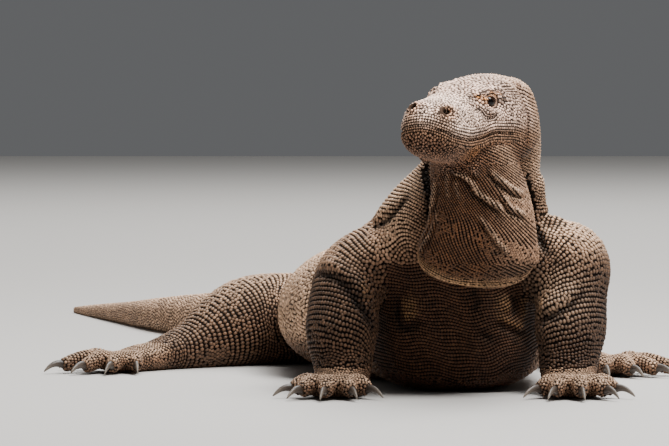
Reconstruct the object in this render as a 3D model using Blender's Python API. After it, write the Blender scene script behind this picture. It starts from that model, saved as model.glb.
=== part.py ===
import bpy
import bmesh
import math
from mathutils import Matrix, Vector

# A Komodo dragon lying on its belly with its forequarters raised on its arms and its head turned
# to its right. Metres, +Z up, the floor at z = 0; it faces -Y, so +X is its left side.

# ---- driving dimensions ----
headLength = 0.215          # tip of the snout to the back of the jaw
headTurn = math.radians(25)
headPitch = math.radians(-1)
headRoll = math.radians(5)  # the left cheek hangs lower
napePoint = Vector((0.047, 0.000, 0.338))   # level with the mouth line, at the back of the jaw
eyeRadius = 0.0095
digitRadius = 0.0115
clawLength = 0.030
clawRadius = 0.0060
clawTip = 0.0007             # radius at the point
clawSteps = 3
flatAngle = math.radians(3)  # faces that turn less than this are merged
gap = 0.0003                # between neighbouring pieces
restPoint = Vector((-0.045, 0.400, 0.0))   # middle of the belly's resting face
voxel = 0.005
smoothing = 6
evenTriangles = 10400
bodyTriangles = 3950

# Rows of a loft: x, y, z of the middle, half width, height above it, depth below it, squareness.
spineRows = [
    (0.045, -0.045, 0.376, 0.040, 0.022, 0.040, 2.0),
    (0.047, -0.008, 0.362, 0.054, 0.034, 0.050, 2.0),
    (0.044, 0.024, 0.322, 0.066, 0.050, 0.058, 2.0),
    (0.031, 0.040, 0.268, 0.079, 0.066, 0.066, 2.1),
    (0.014, 0.075, 0.207, 0.117, 0.070, 0.085, 2.2),
    (0.004, 0.140, 0.147, 0.130, 0.070, 0.105, 2.3),
    (-0.004, 0.225, 0.105, 0.145, 0.092, 0.108, 2.2),
    (-0.042, 0.350, 0.082, 0.175, 0.106, 0.088, 2.2),
    (-0.066, 0.490, 0.078, 0.160, 0.100, 0.084, 2.2),
    (-0.082, 0.620, 0.073, 0.108, 0.080, 0.079, 2.1),
    (-0.112, 0.760, 0.062, 0.074, 0.061, 0.068, 2.1),
    (-0.190, 0.920, 0.049, 0.054, 0.049, 0.055, 2.2),
    (-0.300, 1.095, 0.036, 0.039, 0.038, 0.041, 2.2),
    (-0.400, 1.300, 0.0265, 0.027, 0.0275, 0.0305, 2.2),
    (-0.470, 1.500, 0.0175, 0.0175, 0.0185, 0.021, 2.2),
    (-0.530, 1.680, 0.0110, 0.0105, 0.0115, 0.0145, 2.1),
    (-0.575, 1.820, 0.0062, 0.0045, 0.0050, 0.0095, 2.0),
]
pouchRows = [
    (0.012, -0.085, 0.345, 0.040, 0.050, 0.050, 2.0),
    (0.016, -0.080, 0.305, 0.050, 0.058, 0.068, 2.1),
    (0.027, -0.068, 0.258, 0.060, 0.058, 0.070, 2.2),
    (0.031, -0.058, 0.212, 0.068, 0.058, 0.060, 2.3),
    (0.027, -0.050, 0.176, 0.076, 0.050, 0.050, 2.3),
    (0.027, -0.044, 0.155, 0.060, 0.038, 0.040, 2.2),
    (0.026, -0.040, 0.145, 0.032, 0.020, 0.020, 2.0),
]
breastRows = [
    (0.002, 0.018, 0.092, 0.048, 0.056, 0.052, 2.4),
    (0.002, 0.036, 0.090, 0.084, 0.078, 0.078, 2.7),
    (0.001, 0.080, 0.086, 0.108, 0.090, 0.085, 3.0),
    (0.000, 0.150, 0.084, 0.130, 0.094, 0.084, 2.8),
    (-0.002, 0.230, 0.084, 0.138, 0.090, 0.084, 2.6),
]
leftArmRows = [
    (0.070, 0.075, 0.170, 0.062, 0.050, 0.060, 2.0),
    (0.115, 0.062, 0.168, 0.058, 0.051, 0.055, 2.0),
    (0.143, 0.048, 0.156, 0.052, 0.057, 0.048, 2.0),
    (0.148, 0.030, 0.122, 0.046, 0.041, 0.044, 2.1),
    (0.146, 0.014, 0.083, 0.046, 0.042, 0.044, 2.1),
    (0.143, 0.005, 0.047, 0.040, 0.036, 0.036, 2.1),
    (0.141, -0.004, 0.022, 0.036, 0.031, 0.034, 2.1),
]
rightArmRows = [
    (-0.070, 0.075, 0.168, 0.062, 0.048, 0.060, 2.0),
    (-0.105, 0.062, 0.164, 0.056, 0.045, 0.053, 2.0),
    (-0.131, 0.048, 0.150, 0.048, 0.040, 0.046, 2.0),
    (-0.140, 0.030, 0.118, 0.046, 0.039, 0.044, 2.1),
    (-0.142, 0.014, 0.081, 0.046, 0.044, 0.045, 2.1),
    (-0.141, 0.005, 0.047, 0.040, 0.038, 0.036, 2.1),
    (-0.140, -0.004, 0.022, 0.036, 0.031, 0.034, 2.1),
]
rightLegRows = [
    (-0.110, 0.630, 0.074, 0.070, 0.050, 0.070, 2.0),
    (-0.190, 0.600, 0.070, 0.066, 0.054, 0.072, 2.0),
    (-0.262, 0.572, 0.064, 0.060, 0.058, 0.068, 2.0),
    (-0.306, 0.540, 0.050, 0.050, 0.048, 0.056, 2.0),
    (-0.345, 0.508, 0.034, 0.036, 0.029, 0.039, 2.0),
    (-0.378, 0.480, 0.025, 0.031, 0.021, 0.029, 2.0),
    (-0.394, 0.464, 0.021, 0.030, 0.019, 0.026, 2.0),
]
leftLegRows = [
    (-0.040, 0.610, 0.074, 0.070, 0.050, 0.070, 2.0),
    (0.050, 0.590, 0.070, 0.062, 0.052, 0.070, 2.0),
    (0.128, 0.552, 0.062, 0.050, 0.050, 0.063, 2.0),
    (0.167, 0.490, 0.048, 0.038, 0.040, 0.050, 2.0),
    (0.165, 0.425, 0.032, 0.031, 0.026, 0.036, 2.0),
    (0.166, 0.390, 0.023, 0.030, 0.021, 0.028, 2.0),
]
# Head, in head lengths: distance from the tip, half width, top above the mouth line, bottom,
# squareness, how far the top draws in
headRows = [
    (0.000, 0.075, 0.050, -0.065, 2.0, 0.05),
    (0.012, 0.118, 0.088, -0.105, 2.1, 0.06),
    (0.040, 0.156, 0.128, -0.138, 2.3, 0.08),
    (0.090, 0.182, 0.160, -0.158, 2.4, 0.10),
    (0.160, 0.196, 0.178, -0.175, 2.5, 0.12),
    (0.260, 0.204, 0.192, -0.190, 2.6, 0.10),
    (0.370, 0.214, 0.210, -0.198, 2.6, 0.02),
    (0.480, 0.232, 0.237, -0.200, 2.6, -0.08),
    (0.600, 0.254, 0.267, -0.204, 2.5, -0.06),
    (0.740, 0.282, 0.291, -0.210, 2.4, 0.04),
    (0.880, 0.296, 0.300, -0.216, 2.3, 0.13),
    (1.000, 0.288, 0.294, -0.215, 2.2, 0.15),
    (1.100, 0.240, 0.252, -0.190, 2.0, 0.10),
    (1.180, 0.160, 0.170, -0.130, 2.0, 0.05),
]
eyePlace = (0.159, 0.522, 0.166)     # head lengths: to the side, from the tip, above the mouth line


worldAxes = [Vector((1, 0, 0)), Vector((0, 1, 0)), Vector((0, 0, 1))]


def headTilt():
    return (Matrix.Rotation(-headTurn, 3, 'Z') @ Matrix.Rotation(-headPitch, 3, 'X')
            @ Matrix.Rotation(headRoll, 3, 'Y'))


def headPoint(side, fromTip, up):
    return napePoint + headTilt() @ (Vector((side, fromTip - 1.0, up)) * headLength)


def headLocal(point):
    place = headTilt().transposed() @ (point - napePoint) / headLength
    return place + Vector((0, 1.0, 0))


def headAxes():
    tilt = headTilt()
    return [tilt @ axis for axis in worldAxes]


def between(a, b, c, d, t):
    # Catmull-Rom through b and c
    return tuple(0.5 * ((2 * q) + (r - p) * t + (2 * p - 5 * q + 4 * r - s) * t * t
                        + (3 * q - p - 3 * r + s) * t ** 3)
                 for p, q, r, s in zip(a, b, c, d))


def refine(rows, steps):
    last = len(rows) - 1
    out = []
    for i in range(last):
        near = [rows[max(0, min(last, i + k))] for k in (-1, 0, 1, 2)]
        out += [between(*near, k / steps) for k in range(steps)]
    return out + [rows[last]]


def frames(rows, up):
    # side and up of every row, carried along the line without twisting
    points = [Vector(r[:3]) for r in rows]
    last = len(points) - 1
    out = []
    for i in range(last + 1):
        tangent = (points[min(i + 1, last)] - points[max(i - 1, 0)]).normalized()
        up = (up - tangent * up.dot(tangent)).normalized()
        out.append((points[i], up.cross(tangent), up))
    return out


def wrap(bm, rings, sides):
    # rings: (middle, side, up, half width, above, below, squareness)
    sheet = bmesh.ops.create_grid(bm, x_segments=len(rings) - 1, y_segments=sides, size=1)['verts']
    for v in sheet:
        ring = rings[round((v.co.x + 1) / 2 * (len(rings) - 1))]
        angle = (v.co.y + 1) * math.pi
        middle, side, up, width, above, below, square = ring[:7]
        c, s = math.cos(angle), math.sin(angle)
        across = math.copysign(abs(c) ** (2 / square), c) * width
        rise = math.copysign(abs(s) ** (2 / square), s) * (above if s > 0 else below)
        if s > 0 and len(ring) > 7:
            across *= 1 - ring[7] * s
        v.co = middle + side * across + up * rise
    bmesh.ops.remove_doubles(bm, verts=sheet, dist=1e-6)
    rims = [e for e in bm.edges if e.is_boundary]
    bmesh.ops.holes_fill(bm, edges=rims, sides=0)


def loft(bm, rows, up, steps=4, sides=32):
    fine = refine(rows, steps)
    wrap(bm, [f + r[3:] for f, r in zip(frames(fine, up), fine)], sides)


def ball(bm, middle, radii, axes):
    turn = Matrix((axes[0], axes[1], axes[2])).transposed().to_4x4()
    place = Matrix.Translation(middle) @ turn @ Matrix.Diagonal((*radii, 1.0))
    bmesh.ops.create_uvsphere(bm, u_segments=24, v_segments=14, radius=1.0, matrix=place)


def addHead(bm):
    axes = headAxes()
    fine = refine([(0, 0, 0, *r) for r in headRows], 3)
    rings = [(headPoint(0, r[3], 0), axes[0], axes[2], r[4] * headLength, r[5] * headLength,
              -r[6] * headLength, r[7], r[8]) for r in fine]
    wrap(bm, rings, 36)


# Head forms on both sides, in head lengths: place, reach, move
headForms = [
    ((0.200, 0.480, 0.212), (0.070, 0.120, 0.040), (0.044, 0.000, 0.004)),   # brow
    ((0.200, 0.522, 0.162), (0.055, 0.058, 0.036), (-0.034, 0.000, 0.000)),  # eye hollow
    ((0.150, 0.105, 0.130), (0.050, 0.070, 0.050), (0.004, 0.000, 0.020)),   # nostril swelling
    ((0.250, 0.760, 0.120), (0.080, 0.150, 0.110), (0.014, 0.000, 0.004)),   # temple
    ((0.260, 0.840, -0.090), (0.090, 0.170, 0.100), (0.030, 0.000, -0.010)),  # jowl
    ((0.170, 0.340, 0.150), (0.050, 0.100, 0.050), (-0.014, 0.000, -0.008)),  # before the eye
]

# Digits: turn from the foot's heading in degrees, length from knuckle to claw
handDigits = [(58, 0.036), (30, 0.046), (2, 0.050), (-26, 0.048), (-54, 0.038)]
footDigits = [(52, 0.040), (28, 0.056), (6, 0.070), (-16, 0.078), (-50, 0.046)]
# name, ankle, heading in degrees from +X, palm length and half width, digits, thumb side
feet = [
    ('hand_left', (0.142, -0.008, 0.018), -82, 0.050, 0.036, handDigits, 1),
    ('hand_right', (-0.142, -0.008, 0.018), -104, 0.050, 0.036, handDigits, -1),
    ('foot_left', (0.166, 0.380, 0.020), -30, 0.064, 0.030, footDigits, 1),
    ('foot_right', (-0.398, 0.460, 0.020), -135, 0.064, 0.030, footDigits, -1),
]


def headingOf(degrees):
    return Vector((math.cos(math.radians(degrees)), math.sin(math.radians(degrees)), 0))


def digitLine(foot, digit):
    # middle line of a digit from the palm to the root of its claw
    name, ankle, heading, palm, half, digits, thumb = foot
    turn, length = digit
    ahead = headingOf(heading)
    out = headingOf(heading - turn * thumb)
    knuckle = Vector(ankle) + ahead * palm * 0.55 + out * palm * 0.42
    knuckle.z = 0.014
    return [knuckle, knuckle + out * length * 0.5 + Vector((0, 0, 0.007)),
            knuckle + out * length + Vector((0, 0, -0.002))], out


def addFoot(bm, foot):
    name, ankle, heading, palm, half, digits, thumb = foot
    ahead = headingOf(heading)
    start = Vector(ankle)
    rows = [(*(start - ahead * 0.020), half * 0.86, 0.018, 0.022, 2.2),
            (*(start + ahead * palm * 0.25 - Vector((0, 0, 0.002))), half, 0.018, 0.020, 2.3),
            (*(start + ahead * palm * 0.75 - Vector((0, 0, 0.005))), half, 0.013, 0.017, 2.4),
            (*(start + ahead * palm * 1.02 - Vector((0, 0, 0.007))), half * 0.8, 0.009, 0.014, 2.2)]
    loft(bm, rows, worldAxes[2], 3, 20)
    for digit in digits:
        line, out = digitLine(foot, digit)
        r = digitRadius
        rows = [(*line[0], r, r, r + 0.004, 2.0), (*line[1], r * 1.02, r, r + 0.004, 2.1),
                (*line[2], r * 0.86, r * 0.82, r + 0.001, 2.0)]
        loft(bm, rows, worldAxes[2], 4, 14)


def fleshOf():
    bm = bmesh.new()
    loft(bm, list(reversed(spineRows)), worldAxes[2], 4, 40)
    loft(bm, pouchRows, Vector((0, -1, 0)), 4, 32)
    addHead(bm)
    for flip in (1, -1):
        ball(bm, Vector((0.082 * flip, 0.105, 0.170)), (0.050, 0.080, 0.050), worldAxes)
    loft(bm, leftArmRows, worldAxes[2], 4, 28)
    loft(bm, rightArmRows, worldAxes[2], 4, 28)
    loft(bm, rightLegRows, worldAxes[2], 4, 28)
    loft(bm, leftLegRows, worldAxes[2], 4, 28)
    loft(bm, breastRows, worldAxes[2], 4, 36)
    for foot in feet:
        addFoot(bm, foot)
    bmesh.ops.recalc_face_normals(bm, faces=bm.faces)
    return bm


def objectOf(name, bm):
    mesh = bpy.data.meshes.new(name)
    bm.to_mesh(mesh)
    bm.free()
    obj = bpy.data.objects.new(name, mesh)
    bpy.context.scene.collection.objects.link(obj)
    return obj


def applied(obj):
    # the object's modified shape as a new bmesh; the object goes
    graph = bpy.context.evaluated_depsgraph_get()
    bm = bmesh.new()
    bm.from_mesh(obj.evaluated_get(graph).to_mesh())
    bpy.data.objects.remove(obj)
    return bm


def blended(bm):
    obj = objectOf('blend', bm)
    remesh = obj.modifiers.new('Remesh', 'REMESH')
    remesh.mode = 'VOXEL'
    remesh.voxel_size = voxel
    smooth = obj.modifiers.new('Smooth', 'SMOOTH')
    smooth.factor = 0.5
    smooth.iterations = smoothing
    return applied(obj)


def shapeHead(bm):
    tilt = headTilt()
    for v in bm.verts:
        place = headLocal(v.co)
        if place.y > 1.3 or place.z < -0.5:
            continue
        flip = math.copysign(1.0, place.x)
        move = Vector()
        for spot, reach, shift in headForms:
            away = Vector(((place.x * flip - spot[0]) / reach[0], (place.y - spot[1]) / reach[1],
                           (place.z - spot[2]) / reach[2]))
            move += Vector((shift[0] * flip, shift[1], shift[2])) * math.exp(-away.length_squared)
        v.co += tilt @ move * headLength


def inHead(point):
    place = headLocal(point)
    return place.y < 1.05 and place.z > -0.26


def thinned(bm, triangles, keep):
    # fewer triangles, none of them lost where keep(point) is true
    obj = objectOf('thin', bm)
    kept = [v.index for v in obj.data.vertices if keep(v.co)]
    thin = obj.modifiers.new('Thin', 'DECIMATE')
    thin.ratio = triangles / sum(len(p.vertices) - 2 for p in obj.data.polygons)
    if kept:
        fine = obj.vertex_groups.new(name='fine')
        fine.add(kept, 1.0, 'REPLACE')
        thin.vertex_group = 'fine'
        thin.invert_vertex_group = True
    return applied(obj)


def trimmed(bm, point, normal):
    # keeps what lies behind the plane and closes the cut
    bmesh.ops.bisect_plane(bm, geom=bm.verts[:] + bm.edges[:] + bm.faces[:], dist=1e-5,
                           plane_co=point, plane_no=normal, clear_outer=True)
    bmesh.ops.holes_fill(bm, edges=[e for e in bm.edges if e.is_boundary], sides=0)
    bmesh.ops.triangulate(bm, faces=bm.faces)
    bmesh.ops.dissolve_degenerate(bm, dist=1e-5, edges=bm.edges)
    return bm


def plate(middle, along, halfLength, low, high):
    # upright cutting plate, thickness = gap
    across = Vector((-along.y, along.x, 0)) * gap
    bm = bmesh.new()
    centre = Vector((middle[0], middle[1], (low + high) / 2))
    turn = Matrix((along * 2 * halfLength, across, Vector((0, 0, high - low)))).transposed()
    bmesh.ops.create_cube(bm, size=1.0, matrix=Matrix.Translation(centre) @ turn.to_4x4())
    return bm


def without(bm, cutter):
    solid = objectOf('solid', bm)
    tool = objectOf('tool', cutter)
    tool.hide_render = True
    tool.display_type = 'WIRE'
    cut = solid.modifiers.new('Cut', 'BOOLEAN')
    cut.operation = 'DIFFERENCE'
    cut.solver = 'EXACT'
    cut.object = tool
    out = applied(solid)
    bpy.data.objects.remove(tool)
    bmesh.ops.triangulate(out, faces=out.faces)
    return out


def islands(bm):
    # the separate solids of a mesh, each as its own bmesh
    left = set(bm.verts)
    out = []
    while left:
        seed = left.pop()
        found = {seed}
        edge = [seed]
        while edge:
            v = edge.pop()
            for e in v.link_edges:
                other = e.other_vert(v)
                if other not in found:
                    found.add(other)
                    edge.append(other)
        left -= found
        part = bm.copy()
        part.verts.ensure_lookup_table()
        keep = {v.index for v in found}
        bmesh.ops.delete(part, geom=[v for v in part.verts if v.index not in keep],
                         context='VERTS')
        out.append(part)
    return out


# Upright plates through the limb roots: middle, direction along the plate, half length, low, high
limbPlates = [
    ((0.120, 0.070), 73.0, 0.150, -0.05, 0.245),
    ((-0.110, 0.070), 107.0, 0.150, -0.05, 0.245),
    ((0.058, 0.585), 115.4, 0.165, -0.05, 0.200),
    ((-0.2175, 0.595), 83.3, 0.180, -0.05, 0.200),
]
# A point inside each limb, to tell the pieces apart
limbMarks = {
    'arm_left': (0.148, 0.020, 0.080), 'arm_right': (-0.142, 0.020, 0.080),
    'leg_left': (0.165, 0.470, 0.040), 'leg_right': (-0.300, 0.540, 0.045),
}


def bodyOf():
    bm = blended(fleshOf())
    shapeHead(bm)
    bm = thinned(bm, evenTriangles, lambda point: False)
    bm = thinned(bm, bodyTriangles, inHead)
    return trimmed(bm, Vector((0, 0, 0)), Vector((0, 0, -1)))


def limbsOf(bm):
    # body and limbs: the largest solid is the body
    for middle, degrees, half, low, high in limbPlates:
        bm = without(bm, plate(middle, headingOf(degrees), half, low, high))
    parts = sorted(islands(bm), key=lambda part: part.calc_volume())
    pieces = {'body': parts.pop()}
    for name, mark in limbMarks.items():
        pieces[name] = min(parts, key=lambda part: min((v.co - Vector(mark)).length
                                                       for v in part.verts))
    return pieces


# Planes that part the pieces: piece, what lies ahead of the plane, what stays behind it,
# a point of the plane, its direction
cuts = [
    ('body', 'throat', 'trunk', (0.02, 0.00, 0.150), (0, -0.45, 1)),
    ('throat', 'skull', 'throat', (0.03, -0.04, 0.292), (0, 0.05, 1)),
    ('throat', 'throat_pouch', 'neck', (0.02, -0.014, 0.22), (0, -1, 0.12)),
    ('skull', 'nape', 'skull', (0.047, 0.004, 0.34), (0.30, 1, 0)),
    ('skull', 'head', 'lower_jaw', (0.0, -0.08, 0.3335), (0.08, 0, 1)),
    ('trunk', 'rear', 'chest', (0, 0.265, 0), (0, 1, 0)),
    ('rear', 'hips', 'belly', (0, 0.535, 0), (0, 1, 0)),
    ('hips', 'tail_1', 'hips', (-0.097, 0.710, 0), (-0.25, 1, 0)),
    ('tail_1', 'tail_2', 'tail_1', (-0.190, 0.920, 0), (-0.5, 1, 0)),
    ('tail_2', 'tail_3', 'tail_2', (-0.300, 1.110, 0), (-0.55, 1, 0)),
    ('tail_3', 'tail_4', 'tail_3', (-0.400, 1.320, 0), (-0.4, 1, 0)),
    ('tail_4', 'tail_5', 'tail_4', (-0.485, 1.550, 0), (-0.35, 1, 0)),
    ('arm_left', 'upper_arm_left', 'lower', (0.148, 0.030, 0.130), (-0.2, 0.35, 1)),
    ('lower', 'forearm_left', 'hand_left', (0.142, -0.004, 0.032), (0, 0.2, 1)),
    ('arm_right', 'upper_arm_right', 'lower', (-0.140, 0.030, 0.126), (0.2, 0.35, 1)),
    ('lower', 'forearm_right', 'hand_right', (-0.141, -0.004, 0.032), (0, 0.2, 1)),
    ('leg_left', 'thigh_left', 'lower', (0.160, 0.490, 0), (-0.75, 1, 0)),
    ('lower', 'shank_left', 'foot_left', (0.166, 0.392, 0), (-0.15, 1, 0)),
    ('leg_right', 'thigh_right', 'lower', (-0.300, 0.545, 0), (1, 0.85, 0)),
    ('lower', 'shank_right', 'foot_right', (-0.393, 0.466, 0), (1, 0.85, 0)),
]


def parted(pieces):
    for whole, ahead, behind, point, direction in cuts:
        normal = Vector(direction).normalized()
        half = normal * gap / 2
        bm = pieces.pop(whole)
        front = trimmed(bm.copy(), Vector(point) + half, -normal)
        back = trimmed(bm, Vector(point) - half, normal)
        pieces[ahead] = front
        pieces[behind] = back


def addClaw(bm, digit, spare):
    # a claw curving down to its point, its root sunk in the toe; spare widens it all round
    root, out = digit
    rows = []
    for step in range(clawSteps + 1):
        t = step / clawSteps
        ahead = out * (clawLength * t - 0.004)
        lift = 0.0035 * math.sin(t * math.pi * 0.9)
        middle = root + ahead + Vector((0, 0, lift - max(0.0, root.z - 0.0025) * t * t))
        r = clawRadius * (1 - t) ** 0.75 + clawTip * t + spare
        rows.append((*middle, r * 0.72, r, r, 2.0))
    start = rows[0]
    back = Vector(start[:3]) - out * (0.001 + spare)
    rows.insert(0, (*back, *start[3:]))
    end = Vector(rows[-1][:3]) + (out * 0.9 - worldAxes[2] * 0.4) * spare
    rows[-1] = (*end, *rows[-1][3:])
    loft(bm, rows, worldAxes[2], 1, 6)
    bmesh.ops.recalc_face_normals(bm, faces=bm.faces)


def clawsOf(pieces):
    for foot in feet:
        name = foot[0]
        for i, digit in enumerate(foot[5]):
            line, out = digitLine(foot, digit)
            hole = bmesh.new()
            addClaw(hole, (line[2], out), gap)
            pieces[name] = without(pieces[name], hole)
            claw = bmesh.new()
            addClaw(claw, (line[2], out), 0.0)
            bmesh.ops.triangulate(claw, faces=claw.faces)
            pieces['claw_%s_%d' % (name, i + 1)] = claw


def eyesOf(pieces):
    for side, name in ((1, 'eye_left'), (-1, 'eye_right')):
        middle = headPoint(eyePlace[0] * side, eyePlace[1], eyePlace[2])
        place = Matrix.Translation(middle)
        hollow = bmesh.new()
        bmesh.ops.create_icosphere(hollow, subdivisions=2, radius=eyeRadius + gap, matrix=place)
        pieces['head'] = without(pieces['head'], hollow)
        eye = bmesh.new()
        bmesh.ops.create_icosphere(eye, subdivisions=2, radius=eyeRadius, matrix=place)
        pieces[name] = eye


# Where each piece is held: its joint with the piece before it
origins = {
    'belly': (-0.045, 0.400, 0.0), 'chest': (0, 0.265, 0.10), 'hips': (-0.070, 0.535, 0.07),
    'neck': (0.02, 0.10, 0.20), 'nape': (0.045, 0.03, 0.30), 'throat_pouch': (0.025, -0.014, 0.22),
    'head': (0.047, 0.004, 0.338), 'lower_jaw': (0.047, 0.0, 0.325),
    'tail_1': (-0.097, 0.710, 0.06), 'tail_2': (-0.190, 0.920, 0.05), 'tail_3': (-0.300, 1.110, 0.036),
    'tail_4': (-0.400, 1.320, 0.026), 'tail_5': (-0.485, 1.550, 0.016),
    'upper_arm_left': (0.120, 0.070, 0.165), 'upper_arm_right': (-0.110, 0.070, 0.162),
    'forearm_left': (0.148, 0.030, 0.130), 'forearm_right': (-0.140, 0.030, 0.126),
    'hand_left': (0.142, -0.004, 0.032), 'hand_right': (-0.141, -0.004, 0.032),
    'thigh_left': (0.058, 0.585, 0.07), 'thigh_right': (-0.215, 0.585, 0.07),
    'shank_left': (0.160, 0.490, 0.048), 'shank_right': (-0.300, 0.545, 0.05),
    'foot_left': (0.166, 0.392, 0.023), 'foot_right': (-0.393, 0.466, 0.021),
}
# colour and roughness of the hide piece by piece, the eyes and the claws
coats = {
    'head': ((0.36, 0.30, 0.25), 0.62), 'lower_jaw': ((0.30, 0.24, 0.19), 0.62),
    'throat': ((0.19, 0.13, 0.085), 0.68), 'neck': ((0.25, 0.20, 0.15), 0.68),
    'nape': ((0.27, 0.22, 0.17), 0.68), 'chest': ((0.12, 0.088, 0.062), 0.72),
    'hand': ((0.20, 0.16, 0.125), 0.70), 'foot': ((0.20, 0.16, 0.125), 0.70),
    'tail': ((0.30, 0.22, 0.15), 0.72), 'eye': ((0.045, 0.022, 0.010), 0.08),
    'claw': ((0.20, 0.17, 0.135), 0.38),
}
bodyCoat = ((0.22, 0.17, 0.125), 0.70)


def materialOf(name):
    colour, roughness = coats.get(name, coats.get(name.split('_')[0], bodyCoat))
    material = bpy.data.materials.new('mat_' + name)
    material.use_nodes = True
    shader = material.node_tree.nodes['Principled BSDF']
    shader.inputs['Base Color'].default_value = (*colour, 1.0)
    shader.inputs['Roughness'].default_value = roughness
    shader.inputs['Metallic'].default_value = 0.0
    return material


def finished(name, bm):
    # the part's own origin becomes the middle of the belly's resting face
    bmesh.ops.dissolve_limit(bm, angle_limit=flatAngle, verts=bm.verts, edges=bm.edges)
    bmesh.ops.triangulate(bm, faces=bm.faces)
    middle = sum((v.co for v in bm.verts), Vector()) / len(bm.verts)
    origin = Vector(origins.get(name, middle))
    bmesh.ops.translate(bm, verts=bm.verts, vec=-origin)
    obj = objectOf(name, bm)
    obj.location = origin - restPoint
    obj.data.materials.append(materialOf(name))
    return obj


def build():
    for old in list(bpy.data.objects):
        bpy.data.objects.remove(old)
    pieces = limbsOf(bodyOf())
    parted(pieces)
    eyesOf(pieces)
    clawsOf(pieces)
    for name, bm in pieces.items():
        finished(name, bm)


if __name__ == '__main__':
    build()
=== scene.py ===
import bpy
import bmesh
import math
from itertools import product as combined
import numpy as np
from mathutils import Matrix, Vector
from mathutils.bvhtree import BVHTree
from mathutils.kdtree import KDTree


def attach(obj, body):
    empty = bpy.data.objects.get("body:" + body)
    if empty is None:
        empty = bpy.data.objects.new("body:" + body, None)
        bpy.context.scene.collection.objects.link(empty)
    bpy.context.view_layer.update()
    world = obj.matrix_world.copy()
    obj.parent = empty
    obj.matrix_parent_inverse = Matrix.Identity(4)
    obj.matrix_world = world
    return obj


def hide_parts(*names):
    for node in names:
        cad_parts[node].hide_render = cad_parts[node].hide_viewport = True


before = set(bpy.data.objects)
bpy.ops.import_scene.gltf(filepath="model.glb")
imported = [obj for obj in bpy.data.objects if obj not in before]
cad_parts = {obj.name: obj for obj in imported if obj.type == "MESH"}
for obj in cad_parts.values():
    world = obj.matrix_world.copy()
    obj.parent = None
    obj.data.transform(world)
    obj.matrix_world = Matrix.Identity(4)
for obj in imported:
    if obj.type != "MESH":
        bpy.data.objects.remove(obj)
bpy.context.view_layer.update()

# A Komodo dragon resting on its belly, forequarters raised, head turned to its right.
# Metres, +Z up, floor at z = 0, it faces -Y and its left side is +X.

body = {
    'headLength': 0.215,
    'headTurn': 25.0,           # degrees
    'headPitch': -1.0,
    'headRoll': 5.0,
    'nape': (0.047, 0.000, 0.338),
    'restPoint': (-0.045, 0.400, 0.0),
    'grain': 0.0026,            # size of the hide's first mesh
    'smoothing': 26,
    'filling': 90,              # rounds that soften the hollows where forms meet
    'coatDepth': 0.0012,        # the hide lies this far inside the scales' outline
    'floorGap': 0.0008,
    'hideTriangles': 190000,
    'gapShade': 0.05,           # painted shade: the hide between scales, as a share of their colour
}

# middle line x, y, z, half width, height above it, depth below it, squareness
spineRows = [
    (0.045, -0.045, 0.376, 0.040, 0.022, 0.040, 2.0),
    (0.047, -0.008, 0.362, 0.054, 0.034, 0.050, 2.0),
    (0.044, 0.024, 0.322, 0.066, 0.050, 0.058, 2.0),
    (0.031, 0.040, 0.268, 0.079, 0.066, 0.066, 2.1),
    (0.014, 0.075, 0.207, 0.117, 0.070, 0.085, 2.2),
    (0.004, 0.140, 0.147, 0.130, 0.070, 0.105, 2.3),
    (-0.004, 0.225, 0.105, 0.145, 0.092, 0.108, 2.2),
    (-0.042, 0.350, 0.082, 0.175, 0.106, 0.088, 2.2),
    (-0.066, 0.490, 0.078, 0.160, 0.100, 0.084, 2.2),
    (-0.082, 0.620, 0.073, 0.108, 0.080, 0.079, 2.1),
    (-0.112, 0.760, 0.062, 0.074, 0.061, 0.068, 2.1),
    (-0.190, 0.920, 0.049, 0.054, 0.049, 0.055, 2.2),
    (-0.300, 1.095, 0.036, 0.039, 0.038, 0.041, 2.2),
    (-0.400, 1.300, 0.0265, 0.027, 0.0275, 0.0305, 2.2),
    (-0.470, 1.500, 0.0175, 0.0175, 0.0185, 0.021, 2.2),
    (-0.530, 1.680, 0.0110, 0.0105, 0.0115, 0.0145, 2.1),
    (-0.575, 1.820, 0.0062, 0.0045, 0.0050, 0.0095, 2.0),
]
pouchRows = [
    (0.012, -0.085, 0.345, 0.040, 0.050, 0.050, 2.0),
    (0.016, -0.080, 0.305, 0.050, 0.058, 0.068, 2.1),
    (0.027, -0.068, 0.258, 0.060, 0.058, 0.070, 2.2),
    (0.031, -0.058, 0.212, 0.068, 0.058, 0.060, 2.3),
    (0.027, -0.050, 0.176, 0.076, 0.050, 0.050, 2.3),
    (0.027, -0.044, 0.155, 0.060, 0.038, 0.040, 2.2),
    (0.026, -0.040, 0.145, 0.032, 0.020, 0.020, 2.0),
]
breastRows = [
    (0.002, 0.018, 0.092, 0.048, 0.056, 0.052, 2.4),
    (0.002, 0.036, 0.090, 0.084, 0.078, 0.078, 2.7),
    (0.001, 0.080, 0.086, 0.108, 0.090, 0.085, 3.0),
    (0.000, 0.150, 0.084, 0.130, 0.094, 0.084, 2.8),
    (-0.002, 0.230, 0.084, 0.138, 0.090, 0.084, 2.6),
]
leftArmRows = [
    (0.070, 0.075, 0.170, 0.062, 0.050, 0.060, 2.0),
    (0.115, 0.062, 0.168, 0.058, 0.051, 0.055, 2.0),
    (0.143, 0.048, 0.156, 0.052, 0.057, 0.048, 2.0),
    (0.148, 0.030, 0.122, 0.046, 0.041, 0.044, 2.1),
    (0.146, 0.014, 0.083, 0.046, 0.042, 0.044, 2.1),
    (0.143, 0.005, 0.047, 0.040, 0.036, 0.036, 2.1),
    (0.141, -0.004, 0.022, 0.036, 0.031, 0.034, 2.1),
]
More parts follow.
